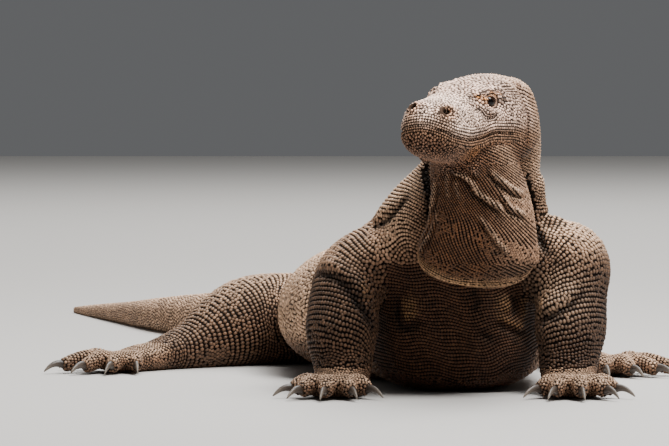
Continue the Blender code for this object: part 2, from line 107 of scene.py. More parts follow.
rightArmRows = [
    (-0.070, 0.075, 0.168, 0.062, 0.048, 0.060, 2.0),
    (-0.105, 0.062, 0.164, 0.056, 0.045, 0.053, 2.0),
    (-0.131, 0.048, 0.150, 0.048, 0.040, 0.046, 2.0),
    (-0.140, 0.030, 0.118, 0.046, 0.039, 0.044, 2.1),
    (-0.142, 0.014, 0.081, 0.046, 0.044, 0.045, 2.1),
    (-0.141, 0.005, 0.047, 0.040, 0.038, 0.036, 2.1),
    (-0.140, -0.004, 0.022, 0.036, 0.031, 0.034, 2.1),
]
rightLegRows = [
    (-0.110, 0.630, 0.074, 0.070, 0.050, 0.070, 2.0),
    (-0.190, 0.600, 0.070, 0.066, 0.054, 0.072, 2.0),
    (-0.262, 0.572, 0.064, 0.060, 0.058, 0.068, 2.0),
    (-0.306, 0.540, 0.050, 0.050, 0.048, 0.056, 2.0),
    (-0.345, 0.508, 0.034, 0.036, 0.029, 0.039, 2.0),
    (-0.378, 0.480, 0.025, 0.031, 0.021, 0.029, 2.0),
    (-0.394, 0.464, 0.021, 0.030, 0.019, 0.026, 2.0),
]
leftLegRows = [
    (-0.040, 0.610, 0.074, 0.070, 0.050, 0.070, 2.0),
    (0.050, 0.590, 0.070, 0.062, 0.052, 0.070, 2.0),
    (0.128, 0.552, 0.062, 0.050, 0.050, 0.063, 2.0),
    (0.167, 0.490, 0.048, 0.038, 0.040, 0.050, 2.0),
    (0.165, 0.425, 0.032, 0.031, 0.026, 0.036, 2.0),
    (0.166, 0.390, 0.023, 0.030, 0.021, 0.028, 2.0),
]
# the head, in head lengths: distance from the tip, half width, top above the mouth line,
# bottom, squareness, how far the top draws in
headRows = [
    (0.000, 0.075, 0.050, -0.065, 2.0, 0.05),
    (0.012, 0.118, 0.088, -0.105, 2.1, 0.06),
    (0.040, 0.156, 0.128, -0.138, 2.3, 0.08),
    (0.090, 0.182, 0.160, -0.158, 2.4, 0.10),
    (0.160, 0.196, 0.178, -0.175, 2.5, 0.12),
    (0.260, 0.204, 0.192, -0.190, 2.6, 0.10),
    (0.370, 0.214, 0.210, -0.198, 2.6, 0.02),
    (0.480, 0.232, 0.237, -0.200, 2.6, -0.08),
    (0.600, 0.254, 0.267, -0.204, 2.5, -0.06),
    (0.740, 0.282, 0.291, -0.210, 2.4, 0.04),
    (0.880, 0.296, 0.300, -0.216, 2.3, 0.13),
    (1.000, 0.288, 0.294, -0.215, 2.2, 0.15),
    (1.100, 0.240, 0.252, -0.190, 2.0, 0.10),
    (1.180, 0.160, 0.170, -0.130, 2.0, 0.05),
]
# forms on both sides of the head: place, reach, move
headForms = [
    ((0.200, 0.480, 0.212), (0.070, 0.120, 0.040), (0.044, 0.000, 0.004)),   # brow
    ((0.200, 0.522, 0.162), (0.055, 0.058, 0.036), (-0.034, 0.000, 0.000)),  # eye hollow
    ((0.150, 0.105, 0.130), (0.050, 0.070, 0.050), (0.004, 0.000, 0.020)),   # nostril swelling
    ((0.250, 0.760, 0.120), (0.080, 0.150, 0.110), (0.014, 0.000, 0.004)),   # temple
    ((0.260, 0.840, -0.090), (0.090, 0.170, 0.100), (0.030, 0.000, -0.010)),  # jowl
    ((0.170, 0.340, 0.150), (0.050, 0.100, 0.050), (-0.014, 0.000, -0.008)),  # before the eye
]
# digits: turn from the foot's heading in degrees, length from knuckle to claw
handDigits = [(58, 0.036), (30, 0.046), (2, 0.050), (-26, 0.048), (-54, 0.038)]
footDigits = [(52, 0.040), (28, 0.056), (6, 0.070), (-16, 0.078), (-50, 0.046)]
# name, ankle, heading in degrees from +X, palm length and half width, digits, thumb side
feet = [
    ('hand_left', (0.142, -0.008, 0.018), -82, 0.050, 0.036, handDigits, 1),
    ('hand_right', (-0.142, -0.008, 0.018), -104, 0.050, 0.036, handDigits, -1),
    ('foot_left', (0.166, 0.380, 0.020), -30, 0.064, 0.030, footDigits, 1),
    ('foot_right', (-0.398, 0.460, 0.020), -135, 0.064, 0.030, footDigits, -1),
]
digitRadius = 0.0115
upward = Vector((0, 0, 1))
worldAxes = [Vector((1, 0, 0)), Vector((0, 1, 0)), upward]
restPoint = Vector(body['restPoint'])
headLength = body['headLength']
nape = Vector(body['nape'])
turn, pitch, roll = (math.radians(body[k]) for k in ('headTurn', 'headPitch', 'headRoll'))
headTilt = (Matrix.Rotation(-turn, 3, 'Z') @ Matrix.Rotation(-pitch, 3, 'X')
            @ Matrix.Rotation(roll, 3, 'Y'))
headTurned = np.array(headTilt)
headStart = np.array(nape - restPoint)


def headPoint(side, fromTip, up):
    return nape + headTilt @ (Vector((side, fromTip - 1.0, up)) * headLength)


def headPlaces(points):
    # frame metres to head lengths: to the side, from the tip, above the mouth line
    return (points - headStart) @ headTurned / headLength + (0.0, 1.0, 0.0)


def fromHead(places):
    return (np.asarray(places, float) - (0.0, 1.0, 0.0)) * headLength @ headTurned.T + headStart


def between(a, b, c, d, t):
    # Catmull-Rom through b and c
    return tuple(0.5 * ((2 * q) + (r - p) * t + (2 * p - 5 * q + 4 * r - s) * t * t
                        + (3 * q - p - 3 * r + s) * t ** 3)
                 for p, q, r, s in zip(a, b, c, d))


def refine(rows, steps):
    last = len(rows) - 1
    out = []
    for i in range(last):
        near = [rows[max(0, min(last, i + k))] for k in (-1, 0, 1, 2)]
        out += [between(*near, k / steps) for k in range(steps)]
    return out + [rows[last]]


def frames(rows, up):
    # side and up of every row, carried along the line without twisting
    points = [Vector(r[:3]) for r in rows]
    last = len(points) - 1
    out = []
    for i in range(last + 1):
        tangent = (points[min(i + 1, last)] - points[max(i - 1, 0)]).normalized()
        up = (up - tangent * up.dot(tangent)).normalized()
        out.append((points[i], up.cross(tangent), up))
    return out


def wrap(bm, rings, sides):
    # rings: (middle, side, up, half width, above, below, squareness)
    sheet = bmesh.ops.create_grid(bm, x_segments=len(rings) - 1, y_segments=sides, size=1)['verts']
    for v in sheet:
        ring = rings[round((v.co.x + 1) / 2 * (len(rings) - 1))]
        angle = (v.co.y + 1) * math.pi
        middle, side, up, width, above, below, square = ring[:7]
        c, s = math.cos(angle), math.sin(angle)
        across = math.copysign(abs(c) ** (2 / square), c) * width
        rise = math.copysign(abs(s) ** (2 / square), s) * (above if s > 0 else below)
        if s > 0 and len(ring) > 7:
            across *= 1 - ring[7] * s
        v.co = middle + side * across + up * rise
    bmesh.ops.remove_doubles(bm, verts=sheet, dist=1e-6)
    rims = [e for e in bm.edges if e.is_boundary]
    bmesh.ops.holes_fill(bm, edges=rims, sides=0)


def loft(bm, rows, up, steps=4, sides=32):
    fine = refine(rows, steps)
    wrap(bm, [f + r[3:] for f, r in zip(frames(fine, up), fine)], sides)


def ball(bm, middle, radii):
    place = Matrix.Translation(middle) @ Matrix.Diagonal((*radii, 1.0))
    bmesh.ops.create_uvsphere(bm, u_segments=48, v_segments=28, radius=1.0, matrix=place)


def addHead(bm):
    axes = [headTilt @ axis for axis in worldAxes]
    fine = refine([(0, 0, 0, *r) for r in headRows], 4)
    rings = [(headPoint(0, r[3], 0), axes[0], axes[2], r[4] * headLength, r[5] * headLength,
              -r[6] * headLength, r[7], r[8]) for r in fine]
    wrap(bm, rings, 48)


def headingOf(degrees):
    return Vector((math.cos(math.radians(degrees)), math.sin(math.radians(degrees)), 0))


def digitLine(foot, digit):
    # middle line of a digit from the palm to the root of its claw
    name, ankle, heading, palm, half, digits, thumb = foot
    bend, length = digit
    ahead = headingOf(heading)
    out = headingOf(heading - bend * thumb)
    knuckle = Vector(ankle) + ahead * palm * 0.55 + out * palm * 0.42
    knuckle.z = 0.014
    return [knuckle, knuckle + out * length * 0.5 + Vector((0, 0, 0.007)),
            knuckle + out * length + Vector((0, 0, -0.002))], out


def addFoot(bm, foot):
    name, ankle, heading, palm, half, digits, thumb = foot
    ahead = headingOf(heading)
    start = Vector(ankle)
    rows = [(*(start - ahead * 0.020), half * 0.86, 0.018, 0.022, 2.2),
            (*(start + ahead * palm * 0.25 - Vector((0, 0, 0.002))), half, 0.018, 0.020, 2.3),
            (*(start + ahead * palm * 0.75 - Vector((0, 0, 0.005))), half, 0.013, 0.017, 2.4),
            (*(start + ahead * palm * 1.02 - Vector((0, 0, 0.007))), half * 0.8, 0.009, 0.014, 2.2)]
    loft(bm, rows, upward, 3, 20)
    for digit in digits:
        line, out = digitLine(foot, digit)
        r = digitRadius
        rows = [(*line[0], r, r, r + 0.004, 2.0), (*line[1], r * 1.02, r, r + 0.004, 2.1),
                (*line[2], r * 0.86, r * 0.82, r + 0.001, 2.0)]
        loft(bm, rows, upward, 4, 14)


def fleshOf():
    bm = bmesh.new()
    loft(bm, list(reversed(spineRows)), upward, 5, 48)
    loft(bm, pouchRows, Vector((0, -1, 0)), 5, 36)
    addHead(bm)
    for flip in (1, -1):
        ball(bm, Vector((0.082 * flip, 0.105, 0.170)), (0.050, 0.080, 0.050))
    for rows in (leftArmRows, rightArmRows, rightLegRows, leftLegRows):
        loft(bm, rows, upward, 5, 32)
    loft(bm, breastRows, upward, 5, 48)
    for foot in feet:
        addFoot(bm, foot)
    bmesh.ops.recalc_face_normals(bm, faces=bm.faces)
    return bm


def objectOf(name, bm):
    mesh = bpy.data.meshes.new(name)
    bm.to_mesh(mesh)
    bm.free()
    obj = bpy.data.objects.new(name, mesh)
    bpy.context.scene.collection.objects.link(obj)
    return obj


def applied(obj):
    # the object's modified shape as a new bmesh; the object goes
    graph = bpy.context.evaluated_depsgraph_get()
    bm = bmesh.new()
    bm.from_mesh(obj.evaluated_get(graph).to_mesh())
    bpy.data.objects.remove(obj)
    return bm


def blended(bm):
    obj = objectOf('blend', bm)
    remesh = obj.modifiers.new('Remesh', 'REMESH')
    remesh.mode = 'VOXEL'
    remesh.voxel_size = body['grain']
    smooth = obj.modifiers.new('Smooth', 'SMOOTH')
    smooth.factor = 0.5
    smooth.iterations = body['smoothing']
    return applied(obj)


def shapeHead(points):
    # points in frame metres, moved by the head's forms
    places = headPlaces(points)
    flip = np.sign(places[:, :1])
    mirrored = places * np.hstack([flip, np.ones_like(flip), np.ones_like(flip)])
    move = np.zeros_like(points)
    for spot, reach, shift in headForms:
        away = (((mirrored - spot) / reach) ** 2).sum(1)
        move += np.exp(-away)[:, None] * shift
    move[:, :1] *= flip
    inside = (places[:, 1] < 1.3) & (places[:, 2] > -0.5)
    points[inside] += (move[inside] * headLength) @ headTurned.T
    return points


def coordsOf(mesh, what='co'):
    out = np.empty(len(mesh.vertices) * 3, np.float32)
    mesh.vertices.foreach_get(what, out)
    return out.reshape(-1, 3).astype(float)


def setCoords(mesh, points):
    mesh.vertices.foreach_set('co', points.astype(np.float32).ravel())
    mesh.update()


def edgesOf(mesh):
    out = np.empty(len(mesh.edges) * 2, np.int32)
    mesh.edges.foreach_get('vertices', out)
    return out.reshape(-1, 2)


def timesUsed(groups, size):
    # how many edges or triangles each point belongs to, at least one
    return np.maximum(np.bincount(groups.ravel(), minlength=size), 1)


def neighbourMean(values, edges, counts):
    a, b = edges[:, 0], edges[:, 1]
    size = len(values)
    return (np.bincount(a, values[b], size) + np.bincount(b, values[a], size)) / counts


def meanPlaces(points, edges, counts):
    return np.stack([neighbourMean(points[:, k], edges, counts) for k in range(3)], 1)


def fillHollows(mesh, rounds):
    # hollows creep outwards where forms meet; what bulges stays as it is
    edges = edgesOf(mesh)
    counts = timesUsed(edges, len(mesh.vertices))
    points = coordsOf(mesh)
    normals = coordsOf(mesh, 'normal')
    for i in range(rounds):
        out = ((meanPlaces(points, edges, counts) - points) * normals).sum(1)
        points += normals * (np.maximum(out, 0) * 0.9)[:, None]
    setCoords(mesh, points)


def splitWhere(bm, test):
    # halves the edges of every face whose middle passes the test
    spots = np.array([f.calc_center_median() for f in bm.faces])
    chosen = np.flatnonzero(test(spots))
    bm.faces.ensure_lookup_table()
    edges = {e for i in chosen for e in bm.faces[i].edges}
    bmesh.ops.subdivide_edges(bm, edges=list(edges), cuts=1, use_grid_fill=True, smooth=0.0)


eyes = {
    'place': (0.159, 0.522, 0.166),      # head lengths
    'radius': 0.0095,
    'gaze': (0.76, -0.64, 0.08),         # of the left eye, in the head's own directions
    'opening': (50.0, 38.0),             # degrees from the gaze, along and across the lids
    'lidThickness': 0.0013,
    'lidCrease': 0.0009,
    'lidReach': (14.0, 40.0),            # degrees past the opening where the lid's shape fades out
}
nostril = {'place': (0.109, 0.072, 0.128), 'reach': 0.0225, 'depth': 0.040, 'rim': 0.0060}
mouthLine = [(0.000, 0.000, 0.031), (0.027, 0.001, 0.030), (0.067, 0.004, 0.023), (0.106, 0.014, 0.012),
             (0.136, 0.029, 0.002), (0.159, 0.052, -0.012), (0.180, 0.096, -0.024),
             (0.196, 0.211, -0.040), (0.204, 0.287, -0.037), (0.213, 0.379, -0.028), (0.224, 0.430, -0.014),
             (0.235, 0.493, -0.006), (0.251, 0.569, -0.008), (0.267, 0.642, -0.010),
             (0.284, 0.700, -0.015), (0.303, 0.780, -0.034)]
underEye = [(0.170, 0.377, 0.133), (0.192, 0.386, 0.112), (0.206, 0.397, 0.090), (0.220, 0.439, 0.080),
            (0.229, 0.490, 0.089), (0.230, 0.513, 0.104)]
underBrow = [(0.120, 0.390, 0.190), (0.140, 0.440, 0.199), (0.170, 0.500, 0.210), (0.182, 0.570, 0.212),
             (0.192, 0.630, 0.206)]
cornerLine = [(0.206, 0.585, 0.180), (0.214, 0.610, 0.170), (0.222, 0.640, 0.166)]
templeLines = [[(0.168, 0.660, 0.250), (0.172, 0.740, 0.262), (0.178, 0.820, 0.262)],
               [(0.182, 0.675, 0.236), (0.190, 0.750, 0.245), (0.196, 0.830, 0.243)],
               [(0.194, 0.685, 0.220), (0.204, 0.760, 0.226), (0.211, 0.840, 0.222)],
               [(0.206, 0.695, 0.203), (0.216, 0.770, 0.206), (0.223, 0.840, 0.200)]]


def nearHead(spots):
    place = headPlaces(spots)
    return (place[:, 1] < 1.05) & (place[:, 2] > -0.27)


def nearThroat(spots):
    x, y, z = spots.T
    return (z > 0.13) & (y < -0.37) & (np.abs(x - 0.07) < 0.10)


def leftPlaces(points):
    # head places with the right side folded onto the left
    places = headPlaces(points)
    places[:, 0] = np.abs(places[:, 0])
    return places


def squaredFrom(places, line, steps):
    # squared distance of each place from a line
    away = np.full(len(places), 1e9)
    for spot in refine(line, steps):
        away = np.minimum(away, ((places - spot) ** 2).sum(1))
    return away


def nearFeature(spots):
    places = leftPlaces(spots)
    near = np.linalg.norm(places - eyes['place'], axis=1) < 0.115
    near |= np.linalg.norm(places - nostril['place'], axis=1) < 0.065
    return near | (squaredFrom(places, mouthLine, 3) < 0.032 ** 2)


def hideMesh():
    obj = objectOf('hide', blended(fleshOf()))
    fillHollows(obj.data, body['filling'])
    bm = bmesh.new()
    bm.from_mesh(obj.data)
    bpy.data.objects.remove(obj)
    bmesh.ops.translate(bm, verts=bm.verts, vec=-restPoint)
    splitWhere(bm, lambda spots: nearHead(spots) | nearThroat(spots))
    splitWhere(bm, nearFeature)
    bmesh.ops.triangulate(bm, faces=bm.faces)
    obj = objectOf('hide', bm)
    mesh = obj.data
    points = shapeHead(coordsOf(mesh))
    setCoords(mesh, points)
    points -= coordsOf(mesh, 'normal') * body['coatDepth']
    setCoords(mesh, points)
    return obj


hide = hideMesh()
print('hide formed:', len(hide.data.vertices), 'points')


# Folds and creases.
# a fold: half width, height of its ridge, depth of the groove on its right-hand side, line
throatFolds = [
    (0.0030, 0.0030, 0.0030, [(0.038, -0.559, 0.297), (0.059, -0.535, 0.285), (0.068, -0.533, 0.276)]),
    (0.0031, 0.0056, 0.0066, [(0.028, -0.525, 0.291), (0.038, -0.528, 0.284), (0.051, -0.531, 0.276),
                              (0.060, -0.530, 0.268), (0.067, -0.527, 0.257), (0.077, -0.526, 0.249),
                              (0.087, -0.523, 0.242), (0.096, -0.519, 0.236), (0.099, -0.516, 0.227)]),
    (0.0031, 0.0046, 0.0060, [(0.083, -0.530, 0.283), (0.092, -0.527, 0.274), (0.104, -0.518, 0.264),
                              (0.116, -0.509, 0.256), (0.127, -0.496, 0.252)]),
    (0.0030, 0.0046, 0.0058, [(0.097, -0.522, 0.253), (0.104, -0.517, 0.244), (0.110, -0.513, 0.235),
                              (0.118, -0.508, 0.232), (0.130, -0.496, 0.224)]),
    (0.0030, 0.0034, 0.0042, [(0.066, -0.520, 0.228), (0.076, -0.519, 0.219), (0.085, -0.515, 0.207),
                              (0.093, -0.511, 0.195), (0.101, -0.506, 0.186), (0.107, -0.501, 0.179)]),
    (0.0026, 0.0024, 0.0030, [(0.017, -0.485, 0.290), (0.015, -0.480, 0.272), (0.016, -0.482, 0.253),
                              (0.018, -0.488, 0.236), (0.021, -0.495, 0.215)]),
    (0.0026, 0.0022, 0.0024, [(0.028, -0.530, 0.286), (0.026, -0.520, 0.268), (0.030, -0.515, 0.250)]),
    (0.0026, 0.0022, 0.0022, [(0.040, -0.540, 0.284), (0.040, -0.525, 0.268), (0.046, -0.520, 0.248)]),
]
# the right side of the throat, turned from the left about its middle, with its own small changes
throatMiddle = 0.020
farFoldsBack = 0.006
farFolds = [(1, 0.004), (3, 0.010), (4, -0.004)]     # which fold, how much higher
# a crease: half width, depth (below zero raises a ridge), line
bodyCreases = [
    # between the throat and the neck, left and right
    (0.0050, 0.0090, [(0.138, -0.400, 0.273), (0.140, -0.389, 0.254), (0.144, -0.379, 0.238),
                      (0.146, -0.375, 0.222), (0.149, -0.380, 0.205), (0.153, -0.389, 0.190),
                      (0.159, -0.395, 0.180)]),
    (0.0055, 0.0090, [(0.003, -0.388, 0.302), (0.004, -0.390, 0.286), (0.007, -0.398, 0.270),
                      (0.011, -0.406, 0.254), (0.013, -0.411, 0.238), (0.014, -0.413, 0.222),
                      (0.018, -0.425, 0.203)]),
    # shoulder skin over the right and the left arm, with its ridge
    (0.0055, 0.0065, [(-0.127, -0.369, 0.151), (-0.112, -0.391, 0.150), (-0.093, -0.407, 0.138),
                      (-0.074, -0.416, 0.114), (-0.059, -0.410, 0.088)]),
    (0.0055, 0.0065, [(0.151, -0.405, 0.092), (0.165, -0.418, 0.101), (0.179, -0.423, 0.109),
                      (0.190, -0.419, 0.116), (0.204, -0.411, 0.130)]),
    (0.0110, -0.0050, [(-0.122, -0.372, 0.164), (-0.108, -0.393, 0.163), (-0.088, -0.408, 0.150),
                       (-0.066, -0.412, 0.122)]),
    (0.0120, -0.0065, [(0.152, -0.400, 0.108), (0.166, -0.412, 0.116), (0.181, -0.416, 0.124),
                       (0.196, -0.412, 0.135)]),
    # slit beside the neck's right side, and the folds at its left foot
    (0.0045, 0.0060, [(-0.053, -0.357, 0.208), (-0.041, -0.371, 0.218), (-0.034, -0.379, 0.226),
                      (-0.026, -0.383, 0.236), (-0.017, -0.388, 0.247)]),
    (0.0075, -0.0045, [(-0.062, -0.348, 0.220), (-0.047, -0.360, 0.231), (-0.032, -0.374, 0.243)]),
    (0.0045, 0.0045, [(0.160, -0.372, 0.205), (0.175, -0.362, 0.214), (0.190, -0.352, 0.213)]),
    (0.0090, -0.0090, [(0.160, -0.370, 0.222), (0.172, -0.365, 0.229), (0.184, -0.355, 0.228)]),
    (0.0170, -0.0090, [(0.148, -0.370, 0.275), (0.151, -0.362, 0.256), (0.156, -0.358, 0.238),
                       (0.164, -0.350, 0.220)]),
    # loose skin of the breast
    (0.0042, -0.0042, [(0.098, -0.380, 0.099), (0.112, -0.376, 0.091), (0.127, -0.367, 0.083),
                       (0.135, -0.357, 0.085)]),
    (0.0036, 0.0050, [(0.096, -0.381, 0.090), (0.111, -0.377, 0.083), (0.126, -0.368, 0.075),
                      (0.137, -0.355, 0.077)]),
    (0.0042, -0.0040, [(0.130, -0.363, 0.122), (0.133, -0.358, 0.108), (0.131, -0.361, 0.094)]),
    (0.0050, 0.0050, [(0.117, -0.371, 0.124), (0.121, -0.368, 0.110), (0.119, -0.369, 0.098)]),
    (0.0090, -0.0050, [(0.104, -0.373, 0.124), (0.108, -0.373, 0.112), (0.108, -0.374, 0.102)]),
    (0.0034, 0.0040, [(0.074, -0.386, 0.078), (0.088, -0.384, 0.070), (0.099, -0.382, 0.064)]),
    (0.0042, 0.0055, [(-0.024, -0.368, 0.126), (-0.027, -0.369, 0.108), (-0.026, -0.371, 0.092),
                      (-0.018, -0.375, 0.083), (-0.004, -0.378, 0.085), (0.004, -0.380, 0.094)]),
    (0.0085, -0.0052, [(-0.011, -0.374, 0.120), (-0.013, -0.374, 0.105), (-0.009, -0.376, 0.093)]),
    (0.0045, 0.0040, [(0.068, -0.384, 0.132), (0.072, -0.386, 0.116), (0.070, -0.387, 0.100)]),
]
rim = (0.0060, -0.0026, [(-0.006, -0.452, 0.176), (0.014, -0.475, 0.158), (0.038, -0.478, 0.149),
                         (0.064, -0.478, 0.145), (0.090, -0.474, 0.145), (0.112, -0.467, 0.149),
                         (0.132, -0.452, 0.158), (0.142, -0.430, 0.170)])
bodyCreases.append(rim)
# the head's left side, in head lengths; the right side is its mirror image
headCreases = [
    (0.0068, 0.0150, mouthLine),
    (0.0110, 0.0075, [(0.157, 0.077, 0.064), (0.185, 0.170, 0.056), (0.201, 0.280, 0.037),
                      (0.210, 0.368, 0.041), (0.223, 0.438, 0.050), (0.240, 0.524, 0.064),
                      (0.259, 0.604, 0.060), (0.269, 0.650, 0.033)]),
    (0.0080, 0.0130, underEye),
    (0.0150, -0.0090, [(0.190, 0.425, 0.122), (0.210, 0.455, 0.106), (0.218, 0.500, 0.112)]),
    (0.0200, -0.0080, [(0.109, 0.398, 0.204), (0.135, 0.465, 0.222), (0.154, 0.547, 0.236),
                       (0.171, 0.637, 0.242), (0.182, 0.694, 0.236)]),
    (0.0080, 0.0110, underBrow),
    (0.0070, 0.0080, cornerLine),
    (0.0100, 0.0080, [(0.156, 0.365, 0.152), (0.166, 0.372, 0.142), (0.170, 0.377, 0.133)]),
    (0.0130, 0.0095, [(0.190, 0.877, 0.253), (0.230, 0.848, 0.205), (0.256, 0.830, 0.162),
                      (0.276, 0.838, 0.125), (0.292, 0.836, 0.070), (0.303, 0.815, 0.005),
                      (0.309, 0.803, -0.063), (0.308, 0.826, -0.110)]),
    (0.0200, 0.0120, [(0.150, 0.330, -0.170), (0.191, 0.379, -0.136), (0.230, 0.436, -0.086),
                      (0.255, 0.519, -0.064), (0.280, 0.610, -0.070)]),
    (0.0070, 0.0070, [(0.112, 0.045, 0.094), (0.133, 0.058, 0.091), (0.152, 0.085, 0.093)]),
    (0.0240, -0.0090, [(0.176, 0.080, -0.060), (0.192, 0.200, -0.078), (0.200, 0.310, -0.076),
                       (0.216, 0.400, -0.062)]),
    (0.0200, -0.0060, [(0.168, 0.080, 0.010), (0.188, 0.200, -0.004), (0.198, 0.305, -0.004),
                       (0.216, 0.410, 0.008), (0.236, 0.500, 0.026)]),
] + [(0.0060, 0.0080, line) for line in templeLines]


def smoothLine(line, steps=7):
    return np.array(refine([tuple(p) for p in line], steps))


def laidOn(tree, line):
    # the line moved onto the hide
    return np.array([tree.find_nearest(Vector(p))[0] for p in line])


def nearestOn(points, normals, line, reach):
    # for the points near a line: index, distance, signed distance (left of the line is above zero)
    # and how far along the line, 0 to 1
    low = line.min(0) - reach
    high = line.max(0) + reach
    index = np.flatnonzero(((points > low) & (points < high)).all(1))
    best = np.full(len(index), 1e9)
    signed = np.zeros(len(index))
    along = np.zeros(len(index))
    at = points[index]
    count = len(line) - 1
    for i in range(count):
        step = line[i + 1] - line[i]
        long = max((step ** 2).sum(), 1e-12)
        t = np.clip((at - line[i]) @ step / long, 0, 1)
        off = at - line[i] - t[:, None] * step
        away = np.sqrt((off ** 2).sum(1))
        closer = away < best
        left = np.cross(normals[index[closer]], step / math.sqrt(long))
        best[closer] = away[closer]
        signed[closer] = (off[closer] * left).sum(1)
        along[closer] = (i + t[closer]) / count
    return index, best, signed, along


def bell(x):
    return np.exp(-x * x)


def unit(vectors):
    return vectors / np.maximum(np.linalg.norm(vectors, axis=1), 1e-9)[:, None]


def taper(along, share=0.22):
    # fades in and out at the two ends
    return np.clip(np.minimum(along, 1 - along) / share + 0.12, 0, 1)


def mirroredLines(creases, scale):
    # head lengths to metres, once for each side; a line from the middle isn't doubled
    out = []
    for width, depth, line in creases:
        for flip in (1, -1):
            turned = fromHead([(x * flip, y, z) for x, y, z in line])
            out.append((width * scale, depth * scale, turned))
    return out


def eyeFrame(flip):
    # middle of the eyeball, gaze, along and across the lids
    side, fromTip, up = eyes['place']
    middle = fromHead([(side * flip, fromTip, up)])[0]
    gx, gy, gz = eyes['gaze']
    gaze = headTurned @ np.array((gx * flip, gy, gz))
    gaze /= np.linalg.norm(gaze)
    across = headTurned @ np.array((0, 0, 1.0))
    across -= gaze * (across @ gaze)
    across /= np.linalg.norm(across)
    return middle, gaze, np.cross(gaze, across), across


def openingAt(u, v):
    # half angle of the lids' opening in the direction (u, v)
    wide, high = eyes['opening']
    length = np.maximum(np.hypot(u, v), 1e-9)
    return 1 / np.sqrt((u / length / wide) ** 2 + (v / length / high) ** 2)


def pastLids(ways, flip):
    # degrees past the lids' opening of directions from the eye's middle
    middle, gaze, along, across = eyeFrame(flip)
    angle = np.degrees(np.arccos(np.clip(ways @ gaze, -1, 1)))
    return angle - openingAt(ways @ along, ways @ across)


def ramp(x, low, high):
    t = np.clip((x - low) / (high - low), 0, 1)
    return t * t * (3 - 2 * t)


def openEyes(points):
    for flip in (1, -1):
        middle = eyeFrame(flip)[0]
        off = points - middle
        away = np.sqrt((off ** 2).sum(1))
        index = np.flatnonzero(away < 0.024)
        away = away[index]
        ways = off[index] / away[:, None]
        past = pastLids(ways, flip)
        lid = eyes['radius'] + eyes['lidThickness']
        crease = eyes['lidCrease'] * bell((past - 20) / 5)
        onLid = ramp(past, -3, 3)
        wanted = eyes['radius'] * 0.78 * (1 - onLid) + (lid - crease) * onLid
        share = (1 - ramp(past, *eyes['lidReach'])) * (1 - ramp(away - lid, 0.002, 0.006))
        moved = middle + ways * wanted[:, None]
        points[index] += (moved - points[index]) * share[:, None]
    return points


def nostrilAt(tree, flip):
    # the nostril's middle on the hide and the way out of it
    spot = fromHead([np.array(nostril['place']) * (flip, 1, 1)])[0]
    return [np.array(v) for v in tree.find_nearest(Vector(spot))[:2]]


def softened(values, edges, counts, rounds):
    for i in range(rounds):
        values = 0.4 * values + 0.6 * neighbourMean(values, edges, counts)
    return values


def creaseHide():
    mesh = hide.data
    points = coordsOf(mesh)
    edges = edgesOf(mesh)
    counts = timesUsed(edges, len(points))
    normals = coordsOf(mesh, 'normal')
    tree = BVHTree.FromObject(hide, bpy.context.evaluated_depsgraph_get())
    push = np.zeros(len(points))
    creases = [(w, d, np.array(line)) for w, d, line in bodyCreases]
    creases += mirroredLines(headCreases, headLength)
    for width, depth, line in creases:
        fine = laidOn(tree, smoothLine(line))
        index, away, signed, along = nearestOn(points, normals, fine, width * 3)
        push[index] -= depth * bell(away / width) * taper(along)
    folds = list(throatFolds)
    for which, lift in farFolds:
        width, ridge, groove, line = throatFolds[which]
        turned = [(2 * throatMiddle - x, y + farFoldsBack, z + lift) for x, y, z in reversed(line)]
        folds.append((width, ridge, groove, turned))
    for width, ridge, groove, line in folds:
        fine = laidOn(tree, smoothLine(line))
        index, away, signed, along = nearestOn(points, normals, fine, width * 4)
        side = np.where(away < width * 4, signed, 1)
        ends = taper(along) * bell(np.sqrt(np.maximum(away ** 2 - side ** 2, 0)) / width)
        push[index] += ends * (ridge * bell((side - width * 0.6) / width)
                               - groove * bell((side + width * 0.8) / (width * 0.8)))
    for flip in (1, -1):
        away = np.linalg.norm(points - nostrilAt(tree, flip)[0], axis=1)
        away /= nostril['reach'] * headLength
        push -= nostril['depth'] * headLength * np.exp(-away ** 4)
        push += nostril['rim'] * headLength * bell((away - 1.55) / 0.45)
    push = softened(push, edges, counts, 4)
    points = openEyes(points + normals * push[:, None])
    for flip in (1, -1):
        away = np.linalg.norm(points - eyeFrame(flip)[0], axis=1)
        share = (1 - ramp(away, 0.013, 0.020))[:, None] * 0.5
        for i in range(5):
            points += (meanPlaces(points, edges, counts) - points) * share
    setCoords(mesh, points)
    return push


hidePush = creaseHide()     # how far every point stands out or in
print('folds, lids and mouth shaped')


# Rows of scales. Every point of the hide gets a row number that grows from the head to the
# tail and down each limb, and scales stand on its whole numbers.
rowPlan = {
    'neckTilt': 0.50,        # how far the neck's rows lean down to the left
    'neckStep': 0.0044,      # metres between rows
    'jowlRows': 2.6,         # rows more under the jaw, where they stand closer
    'trunkStep': 0.0070,
    'tailStep': (0.0082, 0.0038),
    'armStep': 0.0060,
    'legStep': 0.0074,
    'footStep': 0.0042,
    'breastStep': 0.0041,
    'throatStep': 0.0035,
    'fanPoint': (-0.026, -0.510, 0.395),    # where the rows down the throat come from
    'fanReach': 0.200,       # at this distance they stand throatStep apart
    'armLean': 0.32,         # how far the arms' rows lean down towards the middle
    'stagger': 0.5,
    'overlapLimit': 0.64,    # least distance between scales, in scale widths
    'fillLimit': 0.88,
    'fillNear': 0.86,        # of that, beside the rows
    'evenRounds': 4,         # how often loose scales push each other apart
    'evenReach': 1.12,       # when nearer than this, in scale widths
    'evenPush': 0.4,
    'looseRoom': 0.97,       # a loose scale's width in the room around it
    'looseSizes': (0.6, 1.3),    # its least and most, against its own size
    'facing': 0.72,          # cosine within which a scale counts as ahead or beside
    'closeUp': (1.30, 1.45),     # how much a scale may widen and lengthen to meet the next
    'seed': 11,
}


